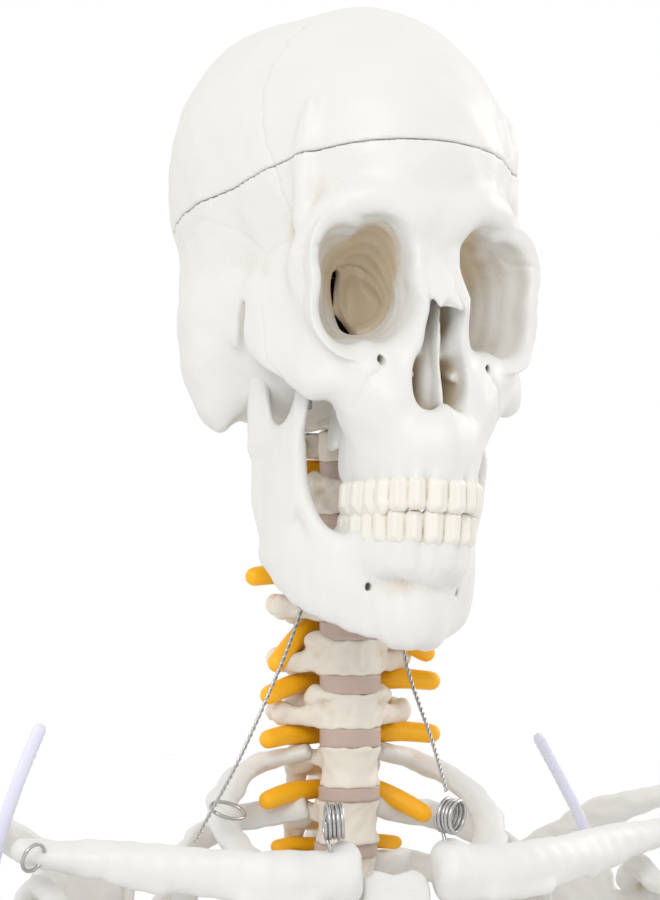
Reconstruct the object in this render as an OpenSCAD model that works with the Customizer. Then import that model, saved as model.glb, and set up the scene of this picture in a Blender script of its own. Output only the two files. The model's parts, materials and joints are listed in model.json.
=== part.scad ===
// Half-size human skeleton model on a pelvic stand.
// Frame: +Z up, the skeleton faces -Y, its left side is at +X, the floor is z = 0.

/* [Stand] */
// Width of the base plate
base_w = 240; // [220:1:280]
// Depth of the base plate
base_d = 200; // [190:1:240]
// Thickness of the base plate
base_h = 12; // [10:1:16]
// Radius of the steel upright
rod_r = 4; // [3.5:0.1:4.5]

/* [Head] */
// Widest half-breadth of the braincase
vault_x = 30; // [29:0.5:31]
// Half-length of the braincase
vault_y = 38.5; // [37:0.5:39]
// Half-height of the braincase
vault_z = 36; // [35:0.5:37]
// Wall thickness of the braincase
vault_wall = 2.2; // [2:0.1:2.6]
// Turn of the head to its left
head_turn = 7; // [0:1:14]
// Backward tilt of the head
head_tilt = 4; // [0:1:5]
// Sideways lean of the head
head_lean = 4; // [0:0.5:5]

/* [Hidden] */

bone = "#ece7dc";
steel = "#9a9a9c";
nerve = "#f5a800";
cartilage = "#c9bdb2";
board = "#e4e4e4";
right = -1;
left = 1;

// Levels of the spine, counted up from the joint of the last lumbar vertebra and the sacrum
lumbar_count = 5;
thoracic_count = 12;
cervical_count = 5;
disc_count = lumbar_count + thoracic_count + cervical_count + 1;
sacrum_top = 503;
lumbar_pitch = 16.4;
thoracic_pitch = [12.2, 10.16];
cervical_pitch = 9.64;
spine_y0 = 22;
cord_back = 9.4;

// Joint centres
hip = [38, 0, 467];
knee = [34, 0, 272];
ankle = [33, 0, 94];
shoulder = [74, 19, 686];
elbow = [81, 19, 547];
wrist = [89, 18, 436];
head_origin = [0, 20, 789];
nod_z = -10.4;
condyle_y = 5;
jaw_axis = [22.2, -5.5, -4];

// The saw cut round the braincase falls towards the back
vault_at = [0, -2.6, 26];
cut_front = 33.4;
cut_fall = 12;

// ---- Helpers ----

function unit(v) = v / norm(v);
function blend_at(a, b, c, d, t) =
    0.5 * (2 * b + (c - a) * t + (2 * a - 5 * b + 4 * c - d) * t * t
    + (3 * b - a - 3 * c + d) * t * t * t);
// Smooth curve through control values, n steps for each span
function smooth(p, n) = let (last = len(p) - 1) [
    for (i = [0:last - 1]) for (k = [0:n - 1])
        blend_at(p[max(i - 1, 0)], p[i], p[i + 1], p[min(i + 2, last)], k / n),
    p[last]
];
function mirrored(p, s) = [for (q = p) [s * q[0], q[1], q[2]]];

// Closed tube along a path, with an oval [a, b] at each point
module sweep(path, ovals, sides = 8, up = [0, 0, 1]) {
    last = len(path) - 1;
    rings = [for (i = [0:last]) let (
        t = unit(path[min(i + 1, last)] - path[max(i - 1, 0)]),
        u = unit(cross(up, t)),
        v = cross(t, u)
    ) for (k = [0:sides - 1]) let (a = 360 * k / sides)
        path[i] + ovals[i][0] * cos(a) * u + ovals[i][1] * sin(a) * v];
    start = [for (k = [0:sides - 1]) k];
    end = [for (k = [sides - 1:-1:0]) last * sides + k];
    walls = [for (i = [0:last - 1]) for (k = [0:sides - 1]) let (
        a = i * sides + k,
        b = i * sides + (k + 1) % sides
    ) each [[a, a + sides, b], [b, a + sides, b + sides]]];
    polyhedron(points = rings, faces = concat([start], walls, [end]), convexity = 6);
}

// Organic bone: a smooth tube through a few stations
module limb(stations, ovals, n = 2, sides = 6, up = [0, 0, 1]) {
    sweep(smooth(stations, n), smooth(ovals, n), sides, up);
}

// Joins overlapping pieces in one mesh
module fused() resize([0, 0, 0]) union() children();

module mirror_side(s) {
    if (s > 0) children();
    else mirror([1, 0, 0]) children();
}

module both_sides() {
    children();
    mirror([1, 0, 0]) children();
}

module ball(r, at, stretch = [1, 1, 1], fn = 10) translate(at) scale(stretch) sphere(r, $fn = fn);

module x_pin(r, half, at) translate(at) rotate([0, 90, 0]) cylinder(r = r, h = 2 * half, center = true,
    $fn = 24);

module oval_prism(a, b, h, n = 12)
    linear_extrude(h) polygon([for (k = [0:n - 1]) [a * cos(360 * k / n), b * sin(360 * k / n)]]);

module head_pose() translate(head_origin) rotate([-head_tilt, head_lean, head_turn]) children();

// ---- Stand ----

module base_plate() color(board) {
    r = 22;
    translate([0, 0, 3]) difference() {
        linear_extrude(base_h) {
            square([base_w - 2 * r, base_d], center = true);
            square([base_w, base_d - 2 * r], center = true);
            for (x = [-1, 1], y = [-1, 1])
                translate([x * (base_w / 2 - r), y * (base_d / 2 - r)]) circle(r, $fn = 48);
        }
        translate([0, rod_y, -1]) cylinder(r = 2.6, h = base_h + 2, $fn = 24);
    }
}
rod_y = 54;
base_top = 3 + base_h;

module base_feet() color("#333333")
    for (x = [-1, 1], y = [-1, 1])
        translate([x * (base_w / 2 - 24), y * (base_d / 2 - 24), 0]) cylinder(r = 9, h = 3, $fn = 32);

socket_h = 30;
module rod_socket() color(steel) translate([0, rod_y, base_top]) {
    difference() {
        union() {
            cylinder(r = 17, h = 4, $fn = 48);
            translate([0, 0, 4]) cylinder(r = 7.5, h = socket_h - 4, $fn = 48);
        }
        translate([0, 0, 3]) cylinder(r = rod_r + 0.05, h = socket_h, $fn = 48);
    }
    translate([0, 7.3, socket_h - 10]) rotate([-90, 0, 0]) {
        cylinder(r = 2, h = 5, $fn = 24);
        translate([0, 0, 5]) cylinder(r = 6.5, h = 6, $fn = 32);
    }
}

rod_top = 498;
module stand_rod() color(steel) translate([0, rod_y, base_top + 3])
    cylinder(r = rod_r, h = rod_top - base_top - 3, $fn = 48);

bracket_z = [472, 492];
module pelvic_bracket() color(steel) difference() {
    union() {
        for (z = bracket_z) translate([0, rod_y, z - 4]) cylinder(r = 7, h = 8, $fn = 48);
        translate([-6, 43.5, bracket_z[0] - 6]) cube([12, 4, bracket_z[1] - bracket_z[0] + 12]);
    }
    translate([0, rod_y, 460]) cylinder(r = rod_r + 0.05, h = 50, $fn = 48);
    translate([0, 40, 482]) rotate([-90, 0, 0]) cylinder(r = 1.5, h = 20, $fn = 24);
}

module bracket_bolts() color(steel) {
    bracket_bolt_shape();
    for (z = bracket_z) translate([7.1, rod_y, z]) rotate([0, 90, 0]) cylinder(r = 2.6, h = 3, $fn = 6);
}

module bracket_bolt_shape() translate([0, 34, 482]) rotate([-90, 0, 0]) cylinder(r = 1.5, h = 13.6,
    $fn = 24);

// ---- Spine ----

// Height of disc i above the floor, counted up from the sacrum
function thoracic_rise(k) = k * (thoracic_pitch[0]
    + (thoracic_pitch[1] - thoracic_pitch[0]) * (k - 1) / (2 * (thoracic_count - 1)));
function disc_z(i) = sacrum_top + lumbar_pitch * min(i, lumbar_count)
    + thoracic_rise(max(0, min(i - lumbar_count, thoracic_count)))
    + cervical_pitch * max(0, i - lumbar_count - thoracic_count);
thorax_low = disc_z(lumbar_count);
thorax_high = disc_z(lumbar_count + thoracic_count);
neck_top = disc_z(disc_count - 1);
// The spine is hollow in the small of the back and bulges behind the chest
function spine_y(z) =
    z < thorax_low ? spine_y0 - 8 * pow(sin(180 * (z - sacrum_top) / (thorax_low - sacrum_top)), 2)
    : z < thorax_high ? spine_y0 + 12 * pow(sin(180 * (z - thorax_low) / (thorax_high - thorax_low)), 2)
    : spine_y0;
function disc_h(i) = i < lumbar_count ? 4 : i < lumbar_count + thoracic_count ? 2.4 : 3.2;
// Half-width and half-depth of the vertebral body above disc i
function body_size(i) =
    i < lumbar_count ? [10.6 - 0.25 * i, 7]
    : i < lumbar_count + thoracic_count ? let (k = i - lumbar_count) [8.6 - 0.25 * k, 6.8 - 0.15 * k]
    : [5.9, 4.6];

module vertebra(i, tp, tp_rise, sp, sp_fall, arch = 5.4) {
    z0 = disc_z(i) + disc_h(i) / 2;
    z1 = disc_z(i + 1) - disc_h(i + 1) / 2;
    size = body_size(i);
    h = z1 - z0;
    ring = min(h * 0.62, 7);
    mid = h - ring / 2;
    translate([0, spine_y((z0 + z1) / 2), z0]) {
        oval_prism(size[0], size[1], h, 10);
        translate([0, cord_back, h - ring]) linear_extrude(ring) difference() {
            circle(arch, $fn = 10);
            circle(arch - 2, $fn = 8);
        }
        // Transverse processes
        both_sides() limb([[arch - 1.4, cord_back, mid], [tp, cord_back + tp_rise, mid]],
            [[1.7, 1.9], [1.4, 1.6]], 1, 5);
        // Spinous process
        limb([[0, cord_back + arch - 1.2, mid], [0, cord_back + arch + sp, mid - sp_fall]],
            [[1.3, 1.9], [1.3, 1.8]], 1, 5);
    }
}

module lumbar_vertebrae() color(bone) fused()
    for (i = [0:lumbar_count - 1]) vertebra(i, 17, 1, 9, 2, 6.2);

module thoracic_vertebrae() color(bone) fused()
    for (k = [0:thoracic_count - 1]) vertebra(lumbar_count + k, k < 10 ? 12 : 9, k < 10 ? 2.4 : 1, 7.5,
        6);

module cervical_vertebrae() color(bone) fused()
    for (k = [0:cervical_count - 1]) vertebra(lumbar_count + thoracic_count + k, 13.6, -1, 8 - k, 2);

axis_h = 7;
module axis_vertebra() color(bone) difference() {
    translate([0, spine_y0, neck_top + 1.6]) fused() {
        oval_prism(5.9, 4.6, axis_h - 1.6);
        translate([0, cord_back, 0.5]) linear_extrude(4.4) difference() {
            circle(5.6, $fn = 12);
            circle(3.6, $fn = 12);
        }
        both_sides() limb([[4.4, cord_back, 2.6], [8, 8, 2.4], [11.5, 6.4, 1.8]],
            [[1.5, 1.5], [1.2, 1.3], [1.4, 1.4]], 1);
        limb([[0, cord_back + 4.4, 2.6], [0, cord_back + 11.5, 0]], [[1.6, 1.9], [1.8, 1.6]], 1);
    }
    neck_bolt_shape();
}

module neck_bolt_shape(grow = 0) translate([0, spine_y0, neck_top + 3.4])
    cylinder(r = 1.6 + grow, h = axis_h + 0.4, $fn = 24);

// Upright pin on the axis, which the atlas turns on
module neck_bolt() color(steel) neck_bolt_shape();

atlas_low = neck_top + axis_h + 0.4;
module atlas_vertebra() color(bone) difference() {
    translate([0, spine_y0, atlas_low]) fused() {
        linear_extrude(3.4) difference() {
            translate([0, 4.5]) scale([1, 1.05]) circle(10.4, $fn = 24);
            translate([0, 6.6]) scale([1, 0.95]) circle(7.2, $fn = 20);
        }
        both_sides() limb([[8.6, 5, 1.7], [12, 5.5, 1.7], [16, 6, 1.7]], [[2.2, 1.5], [1.6, 1.3],
            [1.6, 1.5]], 1);
    }
    neck_bolt_shape(0.3);
    // Seats for the condyles of the skull
    head_pose() both_sides() condyle(0.5);
}

// A roller on the nodding axis
module condyle(grow = 0) translate([5.4, condyle_y, nod_z]) rotate([0, 90, 0])
    cylinder(r = 2.7 + grow, h = 5 + 2 * grow, center = true, $fn = 24);

module intervertebral_discs() color(cartilage)
    for (i = [0:disc_count - 1]) {
        size = body_size(i);
        translate([0, spine_y(disc_z(i)), disc_z(i) - disc_h(i) / 2]) oval_prism(size[0] + 0.1,
            size[1] + 0.1, disc_h(i));
    }

// Soft cord down the canal behind the bodies
module spinal_cord() color(nerve) {
    heights = [for (k = [0:14]) 516 + k * (neck_top + 5 - 516) / 14];
    sweep([for (z = heights) [0, spine_y(z) + cord_back, z]], [for (z = heights) [2.1, 1.5]], 8,
        [0, 1, 0]);
}

module nerve_root(i, reach, forward, r) {
    from = [2.4, spine_y(disc_z(i)) + cord_back, disc_z(i)];
    both_sides() translate(from) rotate([0, 90, atan2(-forward, reach - from[0])])
        cylinder(r = r, h = norm([reach - from[0], forward]), $fn = 16);
}

// How far out and forward each pair of neck stubs reaches, from the first chest vertebra up to the axis.
// The lower four slant forwards, and the one level with the jaw's angle is short.
neck_root_reach = [16.8, 16.8, 16.8, 16.8, 19, 15, 17.4];
neck_root_forward = [7.6, 7.6, 7.6, 7.6, 3.4, 3.4, 3.4];
module nerve_roots_neck() color(nerve) {
    lowest = lumbar_count + thoracic_count - 1;
    for (k = [0:cervical_count + 1])
        nerve_root(lowest + k, neck_root_reach[k], neck_root_forward[k], k == 0 ? 1.15 : 1.5);
}

module nerve_roots_trunk() color(nerve)
    for (i = [1:lumbar_count + thoracic_count - 2]) nerve_root(i, i < lumbar_count ? 16 : 12.5, 2.4,
        1.1);

module sacrum() color(bone) difference() {
    fused() {
        limb([[0, spine_y0, sacrum_top - 2], [0, 27, 492], [0, 34, 478], [0, 37, 464], [0, 34, 453],
            [0, 29, 447]],
            [[20, 7.4], [20, 7], [15, 5.6], [9, 4.2], [4.5, 2.6], [2, 1.6]], 2, 12, [0, 1, 0]);
        limb([[0, 33, 500], [0, 38, 490], [0, 41, 478]], [[1.4, 3], [1.2, 3], [1, 1.5]], 1, 6,
            [0, 1, 0]);
    }
    bracket_bolt_shape();
    translate([-30, 0, sacrum_top - disc_h(0) / 2]) cube([60, 60, 10]);
}

// ---- Thorax ----

// Half-width of each rib's loop, where its bony part ends, its fall to the front and its front reach
rib_w = [25, 34, 41, 46, 50, 53, 55, 55, 53, 49, 44, 38];
rib_end = [146, 150, 148, 146, 143, 138, 132, 124, 115, 103, 82, 62];
rib_fall = [24, 27, 31, 37, 43, 47, 52, 54, 56, 56, 46, 36];
rib_front = [2, -8, -15, -19, -23, -26, -28, -28, -26, -22, -16, -10];
function rib_z(k) = disc_z(lumbar_count + thoracic_count - 1 - k) + 7.4 - 0.05 * k;
function rib_back(k) = spine_y(rib_z(k)) + 17 - (k == 0 ? 5 : k == 1 ? 2 : 0);
function rib_point(k, a) = let (
    back = rib_back(k),
    mid = (back + rib_front[k]) / 2
) [rib_w[k] * sin(a), mid + (back - mid) * cos(a), rib_z(k) - rib_fall[k] * (1 - cos(a)) / 2];
function rib_path(k, n = 7) = let (
    side = 0.8 * body_size(lumbar_count + thoracic_count - 1 - k)[0] + 1.8,
    a0 = k < 2 ? 34 : 24
) concat(
    [[side, spine_y(rib_z(k)) + 4.5, rib_z(k)]],
    [for (j = [0:n - 1]) rib_point(k, a0 + (rib_end[k] - a0) * j / (n - 1))]
);

module rib(k, s) {
    path = mirrored(rib_path(k), s);
    flat = k == 0;
    sweep(path, [for (j = [0:len(path) - 1]) let (t = j == 0 || j == len(path) - 1 ? 0.8 : 1)
        flat ? [2.9 * t, 1.5 * t] : [1.4 * t, 2.5 * t]], 6);
}

module ribs(s) color(bone) for (k = [0:thoracic_count - 1]) rib(k, s);

// The breastbone leans forward towards its lower end
breast_top = [0, -1.5, 694];
breast_tilt = 14;
module sternum() color(bone) translate(breast_top) rotate([-breast_tilt, 0, 0]) rotate([90, 0, 0])
    translate([0, 0, -2.4]) linear_extrude(4.8) union() {
        half = [[0, 2.4], [3.4, 3.4], [5.6, 2.2], [6.6, -3.4], [8, -5.4], [11.5, -7.4], [11, -12], [7, -20],
            [6.2, -21.5], [6.5, -23], [7.5, -38], [8.5, -55], [5.5, -66], [4, -67.5], [3.2, -74], [1, -80]];
        polygon(concat(half, [for (k = [len(half) - 1:-1:1]) [-half[k][0], half[k][1]]]));
    }

// Where the cartilage of rib k meets the breastbone
function breast_point(d, x) = breast_top + [x, -d * sin(breast_tilt), -d * cos(breast_tilt)];
breast_down = [10, 21.5, 30, 38, 46, 53, 59];
breast_half = [12.6, 8, 8.3, 8.8, 9.3, 9.4, 8.8];
// Angle between the end of a rib and its cartilage
cartilage_gap = 2.6;
module costal_cartilage(k) {
    from = rib_point(k, rib_end[k] + cartilage_gap);
    to = breast_point(breast_down[k], breast_half[k]);
    lift = k > 3 ? 0.34 * (k - 3) : 0;
    mid = (from + to) / 2 + [3 * lift, -2 - k * 0.3, -5 * lift];
    limb([from, mid, to], [[1.3, 2.3], [1.4, 2.2], [1.4, 2]]);
}
module costal_cartilages() color(cartilage) fused() both_sides() {
    for (k = [0:6]) costal_cartilage(k);
    for (k = [7:9]) {
        from = rib_point(k, rib_end[k] + cartilage_gap);
        above = rib_point(k - 1, rib_end[k - 1] + 4);
        limb([from, (from + above) / 2 + [-5, -4, -2], above + [-7, -2.5, 3]], [[1.2, 2.1], [1.3, 2],
            [1.2, 1.6]]);
    }
}

// ---- Shoulder girdle ----

clavicle_stations = [[8.6, -4, 696.8], [14, -4.6, 697], [24, -4, 697.6], [36, 3, 698.4], [48, 12, 699.6],
    [56, 16, 700.2], [63, 17, 701.2]];
clavicle_ovals = [[4.4, 5.4], [4.3, 5.2], [3.6, 4.7], [3.2, 4.2], [3.4, 3.6], [4.2, 2.8], [3.6, 2.4]];
module clavicle(s) color(bone) mirror_side(s) limb(clavicle_stations, clavicle_ovals, 2, 8);

module scapula(s) color(bone) mirror_side(s) difference() {
    fused() {
        // Blade, as a thin bent plate
        limb([[34, 49, 692], [36, 51, 668], [42, 49, 630]], [[1.2, 2.4], [1.1, 2.4], [1.2, 2]], 2, 6,
            [0, 1, 0]);
        hull() {
            ball(1.2, [35, 49.2, 692]);
            ball(1.2, [42, 49.5, 632]);
            ball(1.6, [57, 33, 680]);
        }
        hull() {
            ball(1.2, [35, 49.2, 692]);
            ball(1.4, [54, 36, 696]);
            ball(1.6, [57, 33, 680]);
        }
        limb([[42, 49, 631], [50, 42, 656], [59, 32, 676]], [[1.6, 1.8], [1.8, 2], [2.6, 3]], 1, 8,
            [0, 1, 0]);
        // Socket, spine with its shoulder tip, and beak
        limb([[58, 33, 683], [61, 26, 685], [61.4, 15.5, 686]], [[3, 5], [3, 5.6], [4, 6]], 1, 10);
        limb([[36, 51, 688], [46, 51, 693], [58, 46, 701], [70, 36, 706], [75, 27, 706], [72, 19, 706]],
            [[1.2, 2.6], [1.6, 3.4], [1.6, 3.2], [3, 1.8], [4.2, 1.6], [3.4, 1.3]], 1, 8);
        limb([[58, 31, 690], [57, 24, 694], [56, 14, 692], [59, 6, 690]], [[2.4, 3], [2.2, 2.4], [2, 2],
            [1.6, 1.4]], 1);
    }
    translate(shoulder) rotate([0, -90, 0]) cylinder(r = 1.5, h = 17, $fn = 24);
}

// Wire coil that ties the inner end of each collarbone to the breastbone
coil_r = 3.1;
wire_r = 0.4;
coil_at = [[-12, -5, 706.4], [9.6, -5, 706.6]];
module collar_springs() color(steel) for (at = coil_at) translate(at) rotate([0, 90, -16]) {
    for (k = [-1.5:1.5]) translate([0, 0,
        k * 0.86]) rotate_extrude($fn = 24) translate([coil_r - wire_r, 0])
        circle(wire_r, $fn = 14);
}

// Twisted wires from the sides of the neck down to the collarbones
wire_right = [[-9, 22, 743], [-13.5, 20, 733], [-23.5, 14, 716], [-34, 5, 703.2]];
wire_left = [[9.6, 23, 741], [10.4, 20, 731], [10.6, 8, 719.6], [9.6, -2.6, 711.4]];
module suspension_wires() color(steel) for (route = [wire_right, wire_left]) {
    path = smooth(route, 2);
    sweep(path, [for (p = path) [0.65, 0.65]], 6);
}

tie_right = [[-65, 30, 694], [-63.4, 27, 703], [-60.6, 26, 712], [-56.6, 26, 721.5]];
tie_left = [[49, 28, 696], [46.6, 26, 702], [43, 26, 709], [38.2, 26, 717.5]];
module shoulder_straps() color("#e8e8f4") for (route = [tie_right, tie_left]) {
    path = smooth(route, 2);
    sweep(path, [for (p = path) [1.3, 0.8]], 6);
}

// ---- Skull ----

module vault(grow = 0, fn = 26)
    translate(vault_at) scale([vault_x + grow, vault_y + grow, vault_z + grow]) sphere(1, $fn = fn);

module above_cut(gap = 0) translate([0, -vault_y, cut_front + gap]) rotate([-cut_fall, 0, 0])
    translate([-60, -40, 0]) cube([120, 160, 90]);

module skull_cap() color(bone) head_pose() fused() intersection() {
    difference() {
        vault();
        vault(-vault_wall);
    }
    above_cut();
}

module skull_base() color(bone) head_pose() fused() difference() {
    union() {
        difference() {
            vault();
            above_cut(-0.3);
        }
        // Face, cheeks and upper jaw
        hull() {
            both_sides() ball(5, [17, -30, 12]);
            both_sides() ball(4, [8, -36, -22]);
        }
        hull() both_sides() {
            ball(4, [10, -33, -22]);
            ball(3, [11.5, -26, -24]);
            ball(3.4, [17, -24, -4]);
        }
        both_sides() {
            hull() {
                ball(3, [19.5, -28.5, -3]);
                ball(2.6, [20.5, -26, 14]);
            }
            limb([[19, -28, -6], [25, -20, -5], [28.4, -11, -3], [28.4, -4, -1], [25, 2, 0]],
                [[2, 4.4], [1.4, 2.6], [1.2, 2.2], [1.2, 2], [1.5, 2]], 2);
            // Mastoid process and pterygoid plate
            limb([[23, 4.6, 2], [23, 5.4, -7], [22, 4.8, -16]], [[4.6, 6], [4, 5.2], [1.6, 2]], 1, 8,
                [0, 1, 0]);
            limb([[8, -16, -2], [8.4, -17, -12], [8.6, -18, -21]], [[1.6, 4], [1.4, 3.6], [1.4, 2.6]],
                1, 6, [0, 1, 0]);
            condyle();
            hull() {
                ball(2.2, [5.4, condyle_y, nod_z + 1]);
                ball(2.6, [6, condyle_y, nod_z + 7]);
            }
        }
        // Upper teeth
        tooth_row(-29.5, 7, [12.2, 10.8]);
    }
    difference() {
        vault(-vault_wall);
        translate([-40, -60, -20]) cube([80, 100, 16]);
    }
    // Eye sockets, nose, spinal opening and jaw joints
    both_sides() {
        hull() {
            ball(1, [14.6, -40, 9.4], [7.4, 1, 8.6], 12);
            ball(1, [9, -14, 8], [2, 2, 2.4]);
        }
        translate(jaw_axis) rotate([0, 90, 0]) cylinder(r = 2.6, h = 7.4, center = true, $fn = 20);
    }
    hull() {
        ball(1, [0, -44, -9], [4.8, 3, 8]);
        ball(1, [0, -20, -9], [3.4, 3, 6]);
        ball(1, [0, -40, 0], [2.2, 2, 4]);
    }
    translate([0, 10, -30]) cylinder(r = 6, h = 28, $fn = 20);
}

// Rows of teeth stand on a curved arch
module tooth_row(z, h, arch) translate([0, -25.5, z]) linear_extrude(h) difference() {
    scale([arch[0], arch[1] + 3.4]) circle(1, $fn = 24);
    scale([arch[0] - 4.2, arch[1] - 1]) circle(1, $fn = 20);
    translate([-20, 0]) square([40, 20]);
}

module mandible() color(bone) head_pose() fused() {
    both_sides() {
        translate(jaw_axis) rotate([0, 90, 0]) cylinder(r = 1.9, h = 6, center = true, $fn = 16);
        limb([[22.2, -5.5, -5], [22, -5.5, -12], [21.8, -7, -24], [20.4, -10, -33], [18, -15, -37]],
            [[2, 1.8], [1.5, 3], [1.4, 6], [1.7, 6], [2.2, 5]], 2, 8, [0, 1, 0]);
        limb([[22, -14.5, -8], [21.8, -13.5, -14], [21.4, -12.5, -22], [20.6, -12, -30]],
            [[0.8, 1.2], [1.2, 2.6], [1.3, 4.4], [1.4, 5]], 1, 6, [0, 1, 0]);
        limb([[19, -12, -36], [16.5, -20, -40], [13, -29, -43], [7, -35, -45], [-1, -36, -45.4]],
            [[1.8, 7], [2, 7.4], [2.4, 7.4], [2.8, 7.4], [3, 7.6]], 2, 8);
    }
    tooth_row(-37.5, 6, [12, 10.4]);
}

// Small springs that hold the jaw shut
module jaw_springs() color(steel) head_pose() both_sides()
    translate([15.6, -14, -13]) cylinder(r = 1.2, h = 9, $fn = 16);

// ---- Pelvis ----

module hip_bone(s) color(bone) mirror_side(s) difference() {
    fused() {
        // Wing with its crest
        hull() {
            ball(1.6, [52, -14, 500]);
            ball(1.8, [57, 2, 514]);
            ball(1.4, [40, -2, 484]);
        }
        hull() {
            ball(1.8, [57, 2, 514]);
            ball(2, [44, 24, 517]);
            ball(1.4, [40, -2, 484]);
        }
        hull() {
            ball(2, [44, 24, 517]);
            ball(2.6, [27, 38, 502]);
            ball(2.6, [26, 32, 484]);
            ball(1.6, [40, 0, 482]);
        }
        limb([[52, -15, 499], [57, -4, 511], [56, 8, 517], [48, 20, 519], [36, 33, 511], [27, 39, 501]],
            [[2, 2], [2.4, 2.4], [2.6, 2.4], [2.4, 2.4], [2.2, 2.4], [2, 3]], 1);
        // Hip socket block, front and rear columns
        ball(13.6, [34, 2, 468], [0.8, 1, 1], 16);
        limb([[51, -14, 497], [44, -13, 486], [36, -8, 477]], [[2.4, 2.6], [3, 3], [4, 4]], 1, 6,
            [0, 1, 0]);
        limb([[30, 30, 488], [30, 20, 478], [29, 15, 462], [27, 15, 446], [25, 11, 435]],
            [[3, 5], [3.4, 6], [4, 6], [4.4, 5.4], [3.6, 4.4]], 1, 8, [0, 1, 0]);
        limb([[29, -4, 464], [20, -14, 462], [9, -19, 458], [3.4, -19, 454]], [[3, 4], [2.4, 3], [3, 4],
            [3, 6.5]], 1, 8);
        limb([[5, -17, 449], [12, -8, 441], [20, 2, 435], [26, 9, 434]], [[2.2, 3.4], [1.9, 3],
            [2.2, 3.2], [3, 3.6]], 1);
    }
    translate(hip) sphere(10.6, $fn = 32);
    translate(hip) rotate([0, -90, 0]) cylinder(r = 2, h = 20, $fn = 24);
    // The socket opens outwards
    translate(hip + [3, -30, -40]) cube([40, 60, 52]);
    // Faces for the sacrum and the joint in front
    translate([-5, 20, 476]) cube([25.4, 40, 40]);
    translate([-9.5, -40, 430]) cube([10, 40, 40]);
}

module pubic_symphysis() color(cartilage) translate([0, -19, 454])
    rotate([0, 90, 0]) linear_extrude(0.9, center = true) scale([5.6, 2.8]) circle(1, $fn = 24);

// ---- Arms ----

// Steel eye that hangs the arm from the shoulder socket
module shoulder_eye(s) color(steel) mirror_side(s) {
    x_pin(1.2, 5, shoulder + [-8.5, 0, 0]);
    translate(shoulder + [-3, 0, 0]) sphere(2, $fn = 24);
}

module humerus(s) color(bone) mirror_side(s) difference() {
    fused() {
        ball(7.4, shoulder, [1, 1, 1], 20);
        limb([shoulder + [4, 0, 1], shoulder + [5, 0, -8], [79.6, 19, 660], [79.6, 19, 625],
            [80, 19, 590], [81, 19, 565], [81, 19, 548]],
            [[5.4, 6.4], [6, 6.4], [4.2, 4.2], [3.4, 3.4], [3.6, 3.2], [6, 3.2], [10.4, 3.4]], 2, 8,
                [0, 1, 0]);
        translate(elbow + [1, 0, 0]) rotate([0, 90, 0]) cylinder(r = 4.6, h = 20, center = true,
            $fn = 20);
    }
    // Room for the shoulder pin, which the arm is raised on
    translate(shoulder + [0, 2.3, 0]) rotate([90, 0, 0]) linear_extrude(4.6)
        polygon([[1.8, -2.4], [2.6, 2], [3.2, 14], [-12, 14], [-12, -2.4]]);
    // Slot for the tongue of the ulna, and the pin bore
    translate(elbow + [-3, -12, -9]) cube([5, 24, 16.5]);
    x_pin(1, 9, elbow + [1, 0, 0]);
}

module elbow_pin(s) color(steel) mirror_side(s) x_pin(1, 9, elbow + [1, 0, 0]);

module ulna(s) color(bone) mirror_side(s) difference() {
    fused() {
        translate(elbow + [-0.5, 0, 0]) rotate([0, 90, 0]) cylinder(r = 4, h = 4, center = true,
            $fn = 20);
        limb([elbow + [-0.5, 0, -2], elbow + [-0.6, 0, -12], [80.6, 20, 515], [81.6, 21, 480],
            [83.6, 20, 450], [84.4, 19, 441.4]],
            [[2, 3.4], [2.2, 3.6], [2.6, 2.8], [2.2, 2.2], [1.8, 1.8], [2.2, 2.2]], 2, 8, [0, 1, 0]);
    }
    translate(elbow) rotate([0, 90, 0]) cylinder(r = 1.3, h = 20, center = true, $fn = 24);
}

module radius(s) color(bone) mirror_side(s)
    limb([[87, 18.6, 540.5], [86.6, 18.4, 534], [88, 17, 515], [90.4, 16.4, 490], [91.6, 16.8, 460],
        [91.4, 17.6, 446], [91, 18, 441]],
        [[3.2, 3.2], [2.4, 2.4], [2.4, 2.2], [2.6, 2.2], [2.8, 2.4], [4, 3.6], [3.8, 3.2]], 1, 8,
            [0, 1, 0]);

finger_x = [-7.5, -2.5, 2.5, 7.2];
finger_len = [30, 38, 41, 38];
module hand(s) color(bone) mirror_side(s) fused() translate(wrist) {
    rotate([0, 90, 0]) cylinder(r = 3.8, h = 11, center = true, $fn = 16);
    ball(5, [0.2, 0.1, -5.2], [1.6, 0.8, 1], 11);
    for (k = [0:3]) {
        x = finger_x[k];
        limb([[x * 0.7, 0, -7], [x, -1, -20], [x * 1.15, -1, -33]], [[1.8, 2], [1.2, 1.3], [1.9, 1.9]],
            1, 6, [0, 1, 0]);
        limb([[x * 1.14, -1, -30.5], [x * 1.2, -1.6, -52], [x * 1.2, -4, -48 - 0.8 * finger_len[k]]],
            [[1.5, 1.6], [1.3, 1.3], [0.8, 0.8]], 2, 7, [0, 1, 0]);
    }
    limb([[6, -1, -6], [11, -4, -18], [13, -7, -30], [14, -8, -41]], [[2, 2], [1.5, 1.5], [1.7, 1.7],
        [1, 1]], 1, 7, [0, 1, 0]);
}

// ---- Legs ----

// Steel pin that hangs the leg in the hip socket
module hip_link(s) color(steel) mirror_side(s) {
    x_pin(1.6, 7, hip + [-9, 0, 0]);
    translate(hip + [-2.5, 0, 0]) sphere(2.4, $fn = 24);
}

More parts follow.
